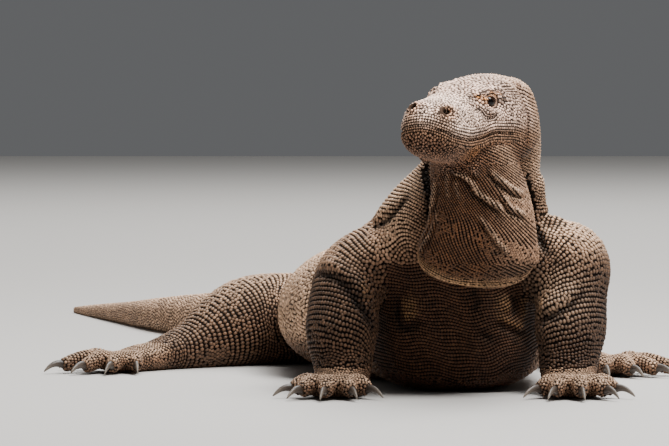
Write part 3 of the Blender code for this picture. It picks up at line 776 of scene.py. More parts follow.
# A scale's seat: place, normal, direction along the row, width, length, row number.
placePart, normalPart, aheadPart = slice(0, 3), slice(3, 6), slice(6, 9)
wideAt, longAt, rowAt = 9, 10, 11
looseRow, lineRow = -1, -99      # the row numbers of seats between rows and on lines of their own


def axisOf(rows, up, step, backwards=False, steps=12):
    # middle line of a form, with its frames, sizes and row count
    fine = refine(rows, steps)
    if backwards:
        turned = frames(list(reversed(fine)), up)[::-1]
    else:
        turned = frames(fine, up)
    middle = np.array([t[0] for t in turned]) - np.array(restPoint)
    ahead = unit(np.gradient(middle, axis=0))
    lengths = np.linalg.norm(np.diff(middle, axis=0), axis=1)
    first, last = step if isinstance(step, tuple) else (step, step)
    steps = np.linspace(first, last, len(fine))
    count = np.concatenate([[0], np.cumsum(lengths / (steps[1:] + steps[:-1]) * 2)])
    return {'middle': middle, 'ahead': ahead, 'side': np.array([t[1] for t in turned]),
            'up': np.array([t[2] for t in turned]), 'reach': np.array([r[3:7] for r in fine]),
            'count': count, 'step': steps}


def placeOn(axis, points):
    # row count, offset to the side and upwards, and distance from the middle (1 on the surface)
    middle = axis['middle']
    near = np.empty(len(points), int)
    for i in range(0, len(points), 50000):
        part = points[i:i + 50000]
        near[i:i + 50000] = ((middle ** 2).sum(1) - 2 * part @ middle.T).argmin(1)
    off = points - middle[near]
    along = (off * axis['ahead'][near]).sum(1)
    across = (off * axis['side'][near]).sum(1)
    rise = (off * axis['up'][near]).sum(1)
    reach = axis['reach'][near]
    half = np.where(rise > 0, reach[:, 1], reach[:, 2])
    square = reach[:, 3]
    out = ((np.abs(across) / reach[:, 0]) ** square + (np.abs(rise) / half) ** square) ** (1 / square)
    ends = np.maximum(np.abs(along) / axis['step'][near] - 1, 0)
    return axis['count'][near] + along / axis['step'][near], across, rise, out + ends * 0.02


trunkStep = rowPlan['trunkStep']
neckAxis = axisOf(spineRows[:7], upward, rowPlan['neckStep'], True)
trunkAxis = axisOf(spineRows[3:11], upward, trunkStep, True)
tailAxis = axisOf(spineRows[10:], upward, rowPlan['tailStep'], True)
limbAxes = [axisOf(leftArmRows, upward, rowPlan['armStep']),
            axisOf(rightArmRows, upward, rowPlan['armStep']),
            axisOf(leftLegRows, upward, rowPlan['legStep']),
            axisOf(rightLegRows, upward, rowPlan['legStep'])]
limbRoots = [(0.118, 0.062, 0.215), (-0.108, 0.062, 0.206), (0.060, 0.588, 0.118),
             (-0.190, 0.600, 0.122)]
limbNames = ['arm_left', 'arm_right', 'leg_left', 'leg_right']
neckMeet = (0.059, -0.325, 0.267)      # where the trunk takes up the neck's row numbers
tailMeet = (-0.067, 0.360, 0.120)      # and the tail the trunk's


def neckCount(points):
    # rows of the neck and throat: level planes that lean down to the left
    lean = np.clip(points[:, 0] - 0.075, -0.09, 0.09) * rowPlan['neckTilt']
    drop = 0.34 - points[:, 2] - lean
    return drop / rowPlan['neckStep'] + rowPlan['jowlRows'] * np.tanh(drop / 0.05)


def throatCount(points):
    # rows down the throat, fanning out from a point under the right side of the jaw
    off = points - rowPlan['fanPoint']
    turned = np.arctan2(off[:, 0], -off[:, 2])
    sway = 0.012 * np.sin(points[:, 2] * 95 + points[:, 0] * 40)
    return (turned + sway) * rowPlan['fanReach'] / rowPlan['throatStep']


def breastCount(points):
    # rows across the breast, sagging in the middle and puckered by its folds
    x, y, z = points.T
    x = x - 0.046
    sway = 0.0030 * np.sin(x * 52) + 0.0016 * np.sin(x * 128 + z * 60)
    return -(z - 1.6 * x * x + sway) / rowPlan['breastStep']


def bodyCount(points):
    # neck, trunk and tail in one run of numbers
    x, y, z = points.T
    neck = neckCount(points)
    meet, join = np.array([neckMeet]), np.array([tailMeet])
    shift = neckCount(meet)[0] - placeOn(trunkAxis, meet)[0][0]
    trunk = placeOn(trunkAxis, points)[0] + shift
    trunkEnd = placeOn(trunkAxis, join)[0][0] + shift
    tail = placeOn(tailAxis, points)[0] + (trunkEnd - placeOn(tailAxis, join)[0][0])
    rear = ramp(y, 0.335, 0.385)
    turned = ramp(y * 0.9 - z + 0.33 * 0.9 + 0.19, -0.045, 0.050)
    front = neck * (1 - turned) + trunk * turned
    return front * (1 - rear) + tail * rear


def fieldsOf(mesh):
    # row numbers of the whole hide, and the limb or foot each point belongs to
    points = coordsOf(mesh)
    x, y, z = points.T
    edges = edgesOf(mesh)
    counts = timesUsed(edges, len(points))
    rows = bodyCount(points)
    trunkOut = placeOn(trunkAxis, points)[3]
    region = np.zeros(len(points), int)      # 0 body, 1-4 limbs, 5-8 feet
    share = np.zeros(len(points))
    for i, (axis, root) in enumerate(zip(limbAxes, limbRoots)):
        rootPoint = np.array([root]) - np.array(restPoint)
        count, across, rise, out = placeOn(axis, points)
        start = bodyCount(rootPoint)[0] - placeOn(axis, rootPoint)[0][0]
        if i < 2:
            lean = rowPlan['armLean'] * np.sign(root[0]) / rowPlan['armStep']
            count += (x - rootPoint[0, 0]) * lean
        mine = 1 - ramp(out, 1.10, 1.45)
        if i < 2:
            outwards = (x - 0.045) * np.sign(root[0])
            mine *= ramp(outwards, 0.055, 0.115) * ramp(-y, 0.25, 0.31)
        else:
            outwards = (x + 0.03) * np.sign(root[0])
            mine *= ramp(trunkOut, 0.94, 1.16) * ramp(outwards, 0.0, 0.04)
        rows = rows * (1 - mine) + (count + start) * mine
        ankle = np.array(feet[i][1]) - np.array(restPoint)
        away = (points - ankle) @ np.array(headingOf(feet[i][2]))
        reach = np.linalg.norm((points - ankle)[:, :2], axis=1)
        atFoot = (z < 0.036) & (reach < 0.16) & (away > -0.034) & (trunkOut > 1.12)
        paw = start + axis['count'][-1] + reach / rowPlan['footStep']
        pawShare = atFoot * ramp(away, -0.030, 0.0)
        rows = rows * (1 - pawShare) + paw * pawShare
        region[(mine > 0.5) & (mine > share)] = i + 1
        share = np.maximum(share, mine)
        region[atFoot & (away > -0.01)] = i + 5
    rows = softened(rows, edges, counts, 60)
    return points, rows, region, edges, counts


def trianglesOf(mesh):
    mesh.calc_loop_triangles()
    out = np.empty(len(mesh.loop_triangles) * 3, np.int32)
    mesh.loop_triangles.foreach_get('vertices', out)
    return out.reshape(-1, 3)


def chainsOf(triangles, rows, size):
    # where whole row numbers cross the triangles' edges, chained into lines:
    # lists of (edge end, other end, share) with their row
    pairs = np.sort(triangles[:, [[0, 1], [1, 2], [2, 0]]].reshape(-1, 2), axis=1)
    keys, edgeOf = np.unique(pairs[:, 0].astype(np.int64) * size + pairs[:, 1], return_inverse=True)
    edgeOf = edgeOf.reshape(-1, 3)
    ends = np.stack([keys // size, keys % size], 1)
    low = np.floor(rows[triangles].min(1)).astype(int) + 1
    high = rows[triangles].max(1)
    firsts, seconds, levels = [], [], []
    for k in range(4):
        level = low + k
        chosen = np.flatnonzero(level < high)
        value = rows[triangles[chosen]] > level[chosen, None]
        crossed = value != value[:, [1, 2, 0]]
        order = np.argsort(~crossed, axis=1, kind='stable')[:, :2]
        found = np.take_along_axis(edgeOf[chosen], order, 1)
        firsts.append(found[:, 0])
        seconds.append(found[:, 1])
        levels.append(level[chosen])
    level = np.concatenate(levels)
    base = level.min()
    span = int(level.max() - base + 1)
    nodes = np.stack([np.concatenate(firsts), np.concatenate(seconds)], 1).astype(np.int64)
    nodes = nodes * span + (level - base)[:, None]
    names, node = np.unique(nodes, return_inverse=True)
    node = node.reshape(-1, 2)
    link = np.full((len(names), 2), -1)
    both = np.concatenate([node, node[:, ::-1]])
    both = both[np.argsort(both[:, 0], kind='stable')]
    start = np.searchsorted(both[:, 0], np.arange(len(names)))
    count = np.bincount(both[:, 0], minlength=len(names))
    link[:, 0] = both[start, 1]
    two = count > 1
    link[two, 1] = both[start[two] + 1, 1]
    used = np.zeros(len(names), bool)
    chains = []
    links = link.tolist()
    for seed in np.concatenate([np.flatnonzero(count == 1), np.arange(len(names))]).tolist():
        if used[seed]:
            continue
        chain = [seed]
        used[seed] = True
        now = seed
        while True:
            onward = [n for n in links[now] if n >= 0 and not used[n]]
            if not onward:
                break
            now = onward[0]
            used[now] = True
            chain.append(now)
        if len(chain) > 2:
            chains.append(np.array(chain))
    a, b = ends[names // span].T
    number = names % span + base
    part = (number - rows[a]) / (rows[b] - rows[a])
    return chains, a, b, part, number


def blend(one, two, share):
    if one.ndim > 1:
        share = share[:, None]
    return one * (1 - share) + two * share


def blendAt(values, a, b, part):
    return blend(values[a], values[b], part)


def seatsAlong(chains, a, b, part, number, points, pitches, high):
    # evenly spaced seats on every line, staggered from row to row: end, end, share
    seats = []
    place = blendAt(points, a, b, part)
    pitchAt = blendAt(pitches, a, b, part)
    highAt = blendAt(high, a, b, part)
    for chain in chains:
        top = int(np.argmax(highAt[chain]))
        closed = np.linalg.norm(place[chain[0]] - place[chain[-1]]) < 0.006
        if closed:
            chain = np.roll(chain, -top)
            chain = np.append(chain, chain[0])
        steps = np.linalg.norm(np.diff(place[chain], axis=0), axis=1)
        pitch = (pitchAt[chain][1:] + pitchAt[chain][:-1]) / 2
        run = np.concatenate([[0], np.cumsum(steps / pitch)])
        many = int(round(run[-1]))
        if many < 1:
            continue
        offset = rowPlan['stagger'] * (number[chain[0]] % 2)
        wanted = (np.arange(many) + offset) % many * run[-1] / many
        slot = np.clip(np.searchsorted(run, wanted, 'right') - 1, 0, len(steps) - 1)
        share = (wanted - run[slot]) / np.maximum(run[slot + 1] - run[slot], 1e-9)
        seats.append(np.stack([chain[slot], chain[slot + 1], share,
                               np.full(many, run[-1] / many), number[chain[slot]]], 1))
    return np.concatenate(seats)


hidePoints, hideRows, hideRegion, hideEdges, hideCounts = fieldsOf(hide.data)
hideNormals = coordsOf(hide.data, 'normal')
print('row numbers', round(hideRows.min()), 'to', round(hideRows.max()))

scaleSizes = {          # metres across a scale, along its row
    'crown': 0.0045, 'snout': 0.0035, 'jaw': 0.0029, 'throat': 0.0033, 'neck': 0.0040,
    'trunk': 0.0056, 'belly': 0.0070, 'breast': 0.0039, 'tail': (0.0062, 0.0030), 'arm': 0.0049,
    'leg': 0.0055, 'foot': 0.0037,
}


def sizesAt(points, normals, region):
    # how wide a scale is at each point
    x, y, z = points.T
    side, fromTip, up = headPlaces(points).T
    facing = normals[:, 2]
    size = np.full(len(points), scaleSizes['trunk'])
    first, last = scaleSizes['tail']
    tail = first + (last - first) * ramp(y, 0.40, 1.40)
    size += (tail - size) * ramp(y, 0.30, 0.42)
    under = ramp(-facing, 0.5, 0.85) * ramp(0.06 - z, 0.0, 0.03)
    under *= ramp(y, -0.36, -0.30) * ramp(-y, -0.35, -0.28)
    neck = ramp(-y, 0.30, 0.38) * ramp(z, 0.15, 0.21)
    throat = ramp(-y, 0.42, 0.47) * (1 - ramp(np.abs(x - 0.055), 0.050, 0.085))
    for name, share in (('belly', under), ('neck', neck), ('breast', chestShare(points)),
                        ('throat', throat)):
        size += (scaleSizes[name] - size) * share
    for limbs, name in (((1, 2), 'arm'), ((3, 4), 'leg'), ((5, 6, 7, 8), 'foot')):
        size[np.isin(region, limbs)] = scaleSizes[name]
    head = (1 - ramp(fromTip, 0.80, 1.02)) * ramp(up, -0.20, -0.10)
    jaw = (1 - ramp(fromTip, 0.40, 0.60)) * (1 - ramp(up, -0.16, -0.06))
    top = ramp(up, 0.10, 0.20) * ramp(fromTip, 0.20, 0.45)
    size += (scaleSizes['snout'] + (scaleSizes['crown'] - scaleSizes['snout']) * top - size) * head
    size += (scaleSizes['jaw'] - size) * jaw * ramp(up, -0.30, -0.22)
    return size


def headShare(points):
    # 1 where the head's own cobbled scales stand instead of rows
    side, fromTip, up = headPlaces(points).T
    top = (1 - ramp(fromTip, 0.78, 0.84)) * ramp(up, -0.10, -0.06)
    chin = (1 - ramp(fromTip, 0.34, 0.44)) * ramp(up, -0.27, -0.22)
    return np.maximum(top, chin)


def chestShare(points):
    # 1 on the breast between the arms
    x, y, z = points.T
    return (ramp(-y, 0.315, 0.325) * (1 - ramp(z, 0.160, 0.170))
            * (1 - ramp(np.abs(x - 0.046), 0.110, 0.125)) * (y > -0.41))


def throatShare(points):
    # 1 on the middle of the throat
    x, y, z = points.T
    front = y < np.where(x > 0.080, -0.412, -0.44)
    return (front & (z > 0.168) & (z < 0.292) & (x < 0.165)) * 1.0


def seatRows():
    triangles = trianglesOf(hide.data)
    size = len(hidePoints)
    pitches = sizesAt(hidePoints, hideNormals, hideRegion)
    corners = hidePoints[triangles]
    sides = np.cross(corners[:, 1] - corners[:, 0], corners[:, 2] - corners[:, 0])
    area = np.maximum((sides ** 2).sum(1), 1e-18)
    out = []
    breast = chestShare(hidePoints)
    throat = throatShare(hidePoints)
    breastRows = breastCount(hidePoints)
    fields = ((hideRows, 1 - np.maximum(breast, throat)), (breastRows, breast * (hideRegion < 1)),
              (throatCount(hidePoints), throat))
    for rows, mask in fields:
        near = triangles if mask.mean() > 0.5 else triangles[mask[triangles].max(1) > 0.5]
        chains, a, b, part, number = chainsOf(near, rows, size)
        seats = seatsAlong(chains, a, b, part, number, hidePoints, pitches, hidePoints[:, 2])
        first, second, share, spacing, row = seats.T
        both = first.astype(int), second.astype(int)

        def ends(values):
            return [blendAt(values, a[end], b[end], part[end]) for end in both]

        def at(values):
            return blend(*ends(values), share)

        places = at(hidePoints)
        start, stop = ends(hidePoints)
        # distance to the next row, from how fast the row number grows over a triangle
        value = rows[triangles]
        slope = sum(np.cross(sides, corners[:, k - 1] - corners[:, k - 2]) * value[:, k, None]
                    for k in range(3))
        steep = np.sqrt((slope ** 2).sum(1)) / area
        total = np.bincount(triangles.ravel(), np.repeat(steep, 3), size)
        growth = softened(total / timesUsed(triangles, size), hideEdges, hideCounts, 12)
        apart = 1 / np.maximum(at(growth), 1e-3)
        keep = (at(mask) > 0.5) & (headShare(places) < 0.5)
        found = (places, at(hideNormals), stop - start, at(pitches) * spacing, apart, row)
        out.append(np.column_stack(found)[keep])
    return np.concatenate(out)


rowSeats = seatRows()
print('scales in rows', len(rowSeats))


# Seats off the rows: lips, lids, nostrils and the head's cobbles.
headLines = {
    'lipRows': ((0.0130, 0.0031), (0.0290, 0.0037), (0.0470, 0.0039), (0.0650, 0.0038),
                (-0.0130, 0.0030), (-0.0285, 0.0034)),                   # height off the mouth, size
    'templeRows': ((-0.0070, 0.0080, 0.0046),),                     # aside and above a line, size
    # off a line, size
    'eyeRows': ((underEye, (0.0150, 0.0026), (-0.0140, 0.0024), (0.0300, 0.0030)),
                (underBrow, (0.0130, 0.0026), (-0.0120, 0.0024), (0.0270, 0.0030))),
    'lidRings': ((5.0, 0.0015), (15.0, 0.0019), (26.0, 0.0023)),    # degrees past the opening, size
    'nostrilRings': ((1.45, 0.0020), (1.90, 0.0024)),               # in nostril sizes, size
    'rimRows': ((-0.0075, 0.0034), (-0.0042, 0.0036), (-0.0008, 0.0037), (0.0028, 0.0037),
                (0.0064, 0.0036), (0.0099, 0.0035), (0.0133, 0.0034)),
    'bare': ((mouthLine, 0.0060), (underEye, 0.0110), (underBrow, 0.0085), (cornerLine, 0.0085)),
    # which body crease, bare this far, and painted shade this far from its line
    'bareBody': ((0, 0.0032, 0.0070), (1, 0.0036, 0.0075), (2, 0, 0.0050), (3, 0, 0.0050),
                 (6, 0.0014, 0.0050)),
}


def seatsOnLine(tree, line, size):
    steps = np.linalg.norm(np.diff(line, axis=0), axis=1)
    run = np.concatenate([[0], np.cumsum(steps)])
    many = max(int(round(run[-1] / size)), 1)
    wanted = (np.arange(many) + 0.5) * run[-1] / many
    spots, after, before = [np.stack([np.interp(at, run, line[:, k]) for k in range(3)], 1)
                            for at in (wanted, wanted + size, wanted - size)]
    out = []
    for spot, ahead in zip(spots, after - before):
        place, normal = tree.find_nearest(Vector(spot))[:2]
        out.append([*place, *normal, *ahead, size, size, lineRow])
    return out


def headLineSeats(tree):
    lines = []
    for lift, size in headLines['lipRows']:
        inwards = 1 - max(0, -lift) * 0.3
        line = [(x * inwards, y + abs(lift) * 0.10, z + lift) for x, y, z in mouthLine]
        lines.append(([(-x, y, z) for x, y, z in reversed(line[1:])] + line, size))
    for aside, lift, size in headLines['templeRows']:
        for line in templeLines:
            for flip in (1, -1):
                lines.append(([((x + aside) * flip, y, z + lift) for x, y, z in line], size))
    for line, *rows in headLines['eyeRows']:
        away = np.array(line) - eyes['place']
        away[:, 0] = 0
        for lift, size in rows:
            for flip in (1, -1):
                lines.append(((line + unit(away) * lift) * (flip, 1, 1), size))
    lines = [(fromHead(smoothLine(line)), size) for line, size in lines]
    for lift, size in headLines['rimRows']:
        lines.append((smoothLine([(x, y, z + lift) for x, y, z in rim[2]]), size))
    out = []
    for line, size in lines:
        out += seatsOnLine(tree, laidOn(tree, line), size)
    for flip in (1, -1):
        middle, gaze, along, across = eyeFrame(flip)
        for past, size in headLines['lidRings']:
            ring = []
            for i in range(49):
                turn = math.tau * i / 48
                u, v = math.cos(turn), math.sin(turn)
                angle = math.radians(openingAt(u, v) + past)
                way = gaze * math.cos(angle) + (along * u + across * v) * math.sin(angle)
                ring.append(middle + way * (eyes['radius'] + eyes['lidThickness']))
            out += seatsOnLine(tree, np.array(ring), size)
        spot, normal = nostrilAt(tree, flip)
        side = np.cross(normal, (0, 0, 1.0))
        side /= np.linalg.norm(side)
        for wide, size in headLines['nostrilRings']:
            reach = wide * nostril['reach'] * headLength
            ring = np.array([spot + side * math.cos(math.tau * i / 36) * reach
                             + np.cross(side, normal) * math.sin(math.tau * i / 36) * reach
                             for i in range(37)])
            out += seatsOnLine(tree, laidOn(tree, ring), size)
    return np.array(out)


def treeOf(places):
    tree = KDTree(len(places))
    for i, place in enumerate(places.tolist()):
        tree.insert(place, i)
    tree.balance()
    return tree


def notCrowded(seats):
    # earlier seats keep their place
    tree = treeOf(seats[:, placePart])
    keep = np.ones(len(seats), bool)
    limit = seats[:, wideAt] * rowPlan['overlapLimit']
    for i, seat in enumerate(seats):
        for place, j, away in tree.find_range(seat[placePart], limit[i]):
            if j < i and keep[j]:
                keep[i] = False
                break
    return seats[keep]


def inHole(points):
    # nostrils, eyes and the deepest lines stay bare
    places = leftPlaces(points)
    bare = np.zeros(len(points), bool)
    for flip in (1, -1):
        off = points - nostrilAt(hideTree, flip)[0]
        bare |= np.linalg.norm(off, axis=1) < nostril['reach'] * headLength * 1.25
        off = points - eyeFrame(flip)[0]
        bare |= (np.linalg.norm(off, axis=1) < 0.013) & (pastLids(unit(off), flip) < 1.5)
    for line, reach in headLines['bare']:
        bare |= squaredFrom(places, line, 6) < reach ** 2
    for which, reach, dark in headLines['bareBody']:
        spots = laidOn(hideTree, smoothLine(bodyCreases[which][2]))
        for spot, share in zip(spots, np.linspace(1.0, 0.3, len(spots))):
            bare |= ((points - spot) ** 2).sum(1) < (reach * share) ** 2
    return bare


def fillSeats(seats):
    # seats in random places wherever the rows leave the hide bare
    draw = np.random.default_rng(rowPlan['seed'])
    tree = treeOf(seats[:, placePart])
    sizes = sizesAt(hidePoints, hideNormals, hideRegion) * rowPlan['fillLimit']
    order = draw.permutation(len(hidePoints))
    order = order[~inHole(hidePoints)[order]]
    cell = 0.004
    taken = {}
    cells = np.floor(hidePoints / cell).astype(int)
    spots = hidePoints.tolist()
    cellList = cells.tolist()
    limits = sizes.tolist()
    around = list(combined((-1, 0, 1), repeat=3))
    wide = list(combined((-2, -1, 0, 1, 2), repeat=3))
    out = []
    for i in order.tolist():
        spot, limit = spots[i], limits[i]
        place, near, away = tree.find(spot)
        if away < limit * rowPlan['fillNear']:
            continue
        x, y, z = cellList[i]
        others = [other for a, b, c in (around if limit < cell else wide)
                  for other in taken.get((x + a, y + b, z + c), ())]
        if all(sum((p - q) ** 2 for p, q in zip(other, spot)) >= limit * limit for other in others):
            taken.setdefault((x, y, z), []).append(spot)
            out.append((i, near))
    chosen, near = np.array(out).T
    places, normals = hidePoints[chosen], hideNormals[chosen]
    atHead = headShare(places) > 0.5
    ahead = np.where(atHead[:, None], np.cross(normals, headTurned[:, 1]), seats[near, aheadPart])
    width = sizes[chosen] / rowPlan['fillLimit']
    return np.column_stack((places, normals, ahead, width, width, np.full(len(chosen), looseRow)))


def evenedOut(seats):
    # loose seats push each other apart until they stand evenly
    loose = np.flatnonzero(seats[:, rowAt] == looseRow)
    for i in range(rowPlan['evenRounds']):
        tree = treeOf(seats[:, placePart])
        places = seats[:, placePart].tolist()
        for k in loose.tolist():
            spot = Vector(places[k])
            reach = seats[k, wideAt] * rowPlan['evenReach']
            shift = Vector((0, 0, 0))
            for place, j, away in tree.find_n(spot, 8)[1:]:
                if 1e-7 < away < reach:
                    shift += (spot - place) * ((reach - away) / away * rowPlan['evenPush'])
            seats[k, placePart], seats[k, normalPart] = hideTree.find_nearest(spot + shift)[:2]
    return seats


def settled(seats):
    # loose seats take the size of the room around them
    tree = treeOf(seats[:, placePart])
    for i in np.flatnonzero(seats[:, rowAt] == looseRow):
        found = tree.find_n(seats[i, placePart], 6)
        room = sum(f[2] for f in found[1:]) / 5 * rowPlan['looseRoom']
        least, most = seats[i, wideAt] * np.array(rowPlan['looseSizes'])
        seats[i, [wideAt, longAt]] = min(max(room, least), most)
    return seats


def closedUp(seats):
    # scales reach as far as the next ones that were kept, ahead and along the row
    tree = treeOf(seats[:, placePart])
    across = np.cross(seats[:, normalPart], seats[:, aheadPart])
    ways = unit(seats[:, aheadPart]), unit(across)
    for i in np.flatnonzero(~np.isin(seats[:, rowAt], (looseRow, lineRow))):
        spot, wide = Vector(seats[i, placePart]), seats[i, wideAt]
        found = tree.find_n(spot, 9)[1:]
        for k, share in enumerate(rowPlan['closeUp']):
            way = Vector(ways[k][i])
            ahead = behind = wide * 2
            for place, j, away in found:
                step = (place - spot).dot(way)
                if step > rowPlan['facing'] * away:
                    ahead = min(ahead, step)
                elif step < -rowPlan['facing'] * away:
                    behind = min(behind, -step)
            wanted = min((ahead + behind) / 2, wide * share)
            seats[i, wideAt + k] = max(seats[i, wideAt + k], wanted)
    return seats


hideTree = BVHTree.FromObject(hide, bpy.context.evaluated_depsgraph_get())
seats = notCrowded(np.concatenate([headLineSeats(hideTree), rowSeats]))
seats = seats[~inHole(seats[:, placePart])]
print('scales kept in rows', len(seats))
seats = evenedOut(np.concatenate([seats, fillSeats(seats)]))
seats = closedUp(settled(seats[~inHole(seats[:, placePart])]))
print('scales in all', len(seats))


# Markings with painted light and shade, the same on the hide and the scales.
# tones of the markings; several of them also serve below as painted light and shade
tones = {
    'pale': (0.64, 0.420, 0.270),
    'mid': (0.25, 0.138, 0.080),
    'dark': (0.040, 0.021, 0.012),
    'head': (0.83, 0.575, 0.445),
    'muzzle': (1.00, 0.740, 0.590),
    'orange': (0.56, 0.215, 0.045),
    'throat': (0.090, 0.034, 0.011),
    'breast': (0.044, 0.014, 0.004),
    'forearm': (0.084, 0.043, 0.023),
    'tail': (0.54, 0.350, 0.230),
    'jaw': (0.105, 0.040, 0.015),
    'bead': (0.44, 0.245, 0.105),
    'ridge': (0.46, 0.300, 0.195),
}


earLine = [(0.191, 0.876, 0.253), (0.259, 0.806, 0.163), (0.287, 0.843, 0.089), (0.301, 0.809, 0.005),
           (0.307, 0.804, -0.064)]
# line, tone, reach, share: painted shade in the creases under the eye, under the brow, behind the eye and
# in the hollow before it; darker bands along the mouth, the ear crease and the temples
tonedLines = ((mouthLine, 'mid', 0.0420, 0.68), (underEye, 'dark', 0.0140, 1.0),
              (underBrow, 'dark', 0.0090, 0.70), (cornerLine, 'dark', 0.0110, 0.85),
              (earLine, 'jaw', 0.0240, 0.80), (earLine, 'dark', 0.0090, 0.70),
              ([(0.112, 0.390, 0.190), (0.120, 0.392, 0.188)], 'dark', 0.0130, 0.90),
              ([(0.156, 0.362, 0.140), (0.168, 0.372, 0.132)], 'dark', 0.0120, 0.75),
              ([(0.120, 0.390, 0.190), (0.156, 0.365, 0.152), (0.170, 0.377, 0.133)], 'dark', 0.0090, 0.60),
              ) + tuple((line, 'dark', 0.0075, 0.80) for line in templeLines)


# painted shade in darker patches that model the head's forms: tone, place in head lengths, reach, share
# (below zero: on the rows behind the head's cobbles)
headShadePatches = (('mid', (0.270, 0.780, 0.060), 0.110, 0.50), ('mid', (0.190, 0.250, 0.090), 0.070, 0.40),
               ('mid', (0.110, 0.015, 0.045), 0.075, 0.75), ('mid', (0.195, 0.750, 0.230), 0.085, 0.35),
               ('jaw', (0.208, 0.450, 0.112), 0.040, 0.60), ('jaw', (0.262, 0.740, -0.170), 0.120, -0.75),
               ('mid', (0.230, 0.700, 0.230), 0.080, 0.40))
# orange patches on the brow, nostril and jaw, and painted shade in the corner behind the eye
warmAndShadedPatches = (('orange', (0.190, 0.505, 0.172), 0.046, 0.45), ('orange', nostril['place'], 0.056, 0.70),
               ('orange', (0.195, 0.300, -0.110), 0.075, 0.24), ('dark', (0.214, 0.612, 0.176), 0.030, 0.8))
browSpots = (((0.140, 0.420, 0.192), 0.028), ((0.165, 0.445, 0.182), 0.030),
             ((0.185, 0.485, 0.190), 0.026), ((0.178, 0.540, 0.208), 0.028),
             ((0.190, 0.600, 0.206), 0.020))


def mouthHeight(fromTip):
    # the mouth line's height along the head, in head lengths
    return np.interp(fromTip, [y for x, y, z in mouthLine], [z for x, y, z in mouthLine])


def towards(colour, name, share):
    return colour + (np.array(tones[name]) - colour) * share[:, None]


def markingsAndShadeOf(points, normals, region, push):
    x, y, z = points.T
    side, fromTip, up = headPlaces(points).T
    flat = leftPlaces(points)
    facing = normals[:, 2]

    def near(spot, reach):
        return bell(np.linalg.norm(flat - spot, axis=1) / reach)

    tail = ramp(y, 0.30, 0.45)
    front = ramp(-y, 0.40, 0.45) * ramp(z, 0.13, 0.16)
    aside = ramp(-x, -0.005, 0.025) * ramp(z, 0.17, 0.21) * ramp(-y, 0.30, 0.34)
    flank = (region == 0) * (y > -0.30) * (1 - ramp(y, 0.25, 0.40))
    # lower limbs and feet darker: partly dark markings, partly painted shade low on the limbs
    limb = np.isin(region, (1, 2)) * (1 - ramp(z, 0.13, 0.20))
    limb += np.isin(region, (3, 4)) * (1 - ramp(z, 0.06, 0.15)) * 0.85
    limb += (region > 4) * 0.42
    limb = np.minimum(limb, 1)
    elbow = np.linalg.norm(points - (0.172, -0.415, 0.126), axis=1)
    # place of a painted highlight high on the left shoulder
    shoulder = np.linalg.norm((points - (0.158, -0.370, 0.290)) / (0.030, 0.045, 0.060), axis=1)
    head = headShare(points)
    passage = (1 - ramp(fromTip, 0.68, 1.02)) * ramp(up, -0.02, 0.05)
    below = head * ramp(mouthHeight(fromTip) - up, -0.004, 0.010)
    lip = bell((mouthHeight(fromTip) - 0.030 - up) / 0.030)
    brow = np.max([near(spot, reach) for spot, reach in browSpots], axis=0)
    patches = [(tone, near(spot, reach) * (head if share > 0 else 1 - head) * abs(share))
               for tone, spot, reach, share in headShadePatches]
    warmAndShaded = [(tone, near(spot, reach) * share) for tone, spot, reach, share in warmAndShadedPatches]
    layers = [
        # painted light on surfaces that face up and painted shade on those that face down
        ('pale', ramp(facing, -0.1, 0.9) * 0.80),
        ('dark', ramp(-facing, -0.1, 0.9) * 0.6),
        ('tail', tail * 0.7),
        ('throat', front * (1 - ramp(x, 0.070, 0.120)) * 0.90),
        # the breast's dark brown: partly its own colour, partly painted shade under the throat pouch
        ('breast', chestShare(points) * 0.85),
        ('pale', aside * (1 - ramp(up, -0.30, -0.15)) * 0.55),
        ('pale', flank * (1 - ramp(np.abs(facing), 0.2, 0.7)) * 0.60),
        # dark lower limbs and feet: partly markings, partly painted shade
        ('forearm', limb * 0.92),
        # the left forearm darker still: partly markings, partly painted shade
        ('dark', (region == 1) * (1 - ramp(z, 0.13, 0.21)) * 0.60),
        # painted shade on the right shoulder and upper arm, the side turned from the key light
        ('mid', (region == 2) * ramp(z, 0.13, 0.19) * 0.62),
        ('ridge', bell(elbow / 0.034) * 0.55),
        # painted highlight on the left shoulder
        ('pale', bell(shoulder) * 0.55),
        ('head', passage),
        ('muzzle', head * (1 - ramp(fromTip, 0.18, 0.45)) * 0.8),
        # painted shade on the head's forms
        *patches,
        ('jaw', below * 0.9),
        ('mid', below * lip * 0.75),
        ('throat', near((0.090, 0.030, -0.080), 0.100) * below * 0.55),
        ('orange', brow * np.where(side < 0, 0.25, 1.0)),
        # orange patches, and painted shade behind the eye
        *warmAndShaded,
    ]
    colour = np.zeros((len(points), 3)) + tones['mid']
    for tone, share in layers:
        colour = towards(colour, tone, share)
    # painted shade along the head's creases, and darker bands along its other lines
    for line, tone, reach, share in tonedLines:
        colour = towards(colour, tone, bell(np.sqrt(squaredFrom(flat, line, 4)) / reach) * share)
    # painted shade in the crevices beside the throat, over the arms and in the neck's slit
    for which, bare, reach in headLines['bareBody']:
        index, away = nearestOn(points, normals, smoothLine(bodyCreases[which][2]), 0.02)[:2]
        colour[index] = towards(colour[index], 'dark', bell(away / reach) * 0.95)
    index, away = nearestOn(points, normals, smoothLine(rim[2]), 0.02)[:2]
    colour[index] = towards(colour[index], 'bead', bell(away / 0.0065) * 0.8)
    # painted highlight on the raised folds of the throat and the breast
    colour = towards(colour, 'ridge', np.clip(push / 0.003, 0, 1) * front * (1 - head) * 0.48)
    colour = towards(colour, 'bead', np.clip(push / 0.004, 0, 1) * chestShare(points) * 0.30)
    # painted shade in creases, grooves and hollows, weaker on the head
    sunk = -push / 0.003 - head * 0.42
    hollowShade = np.clip(sunk, 0, 1) * 0.65 + np.clip(sunk - 1, 0, 1) * 0.27
    return colour * (1 - hollowShade)[:, None]


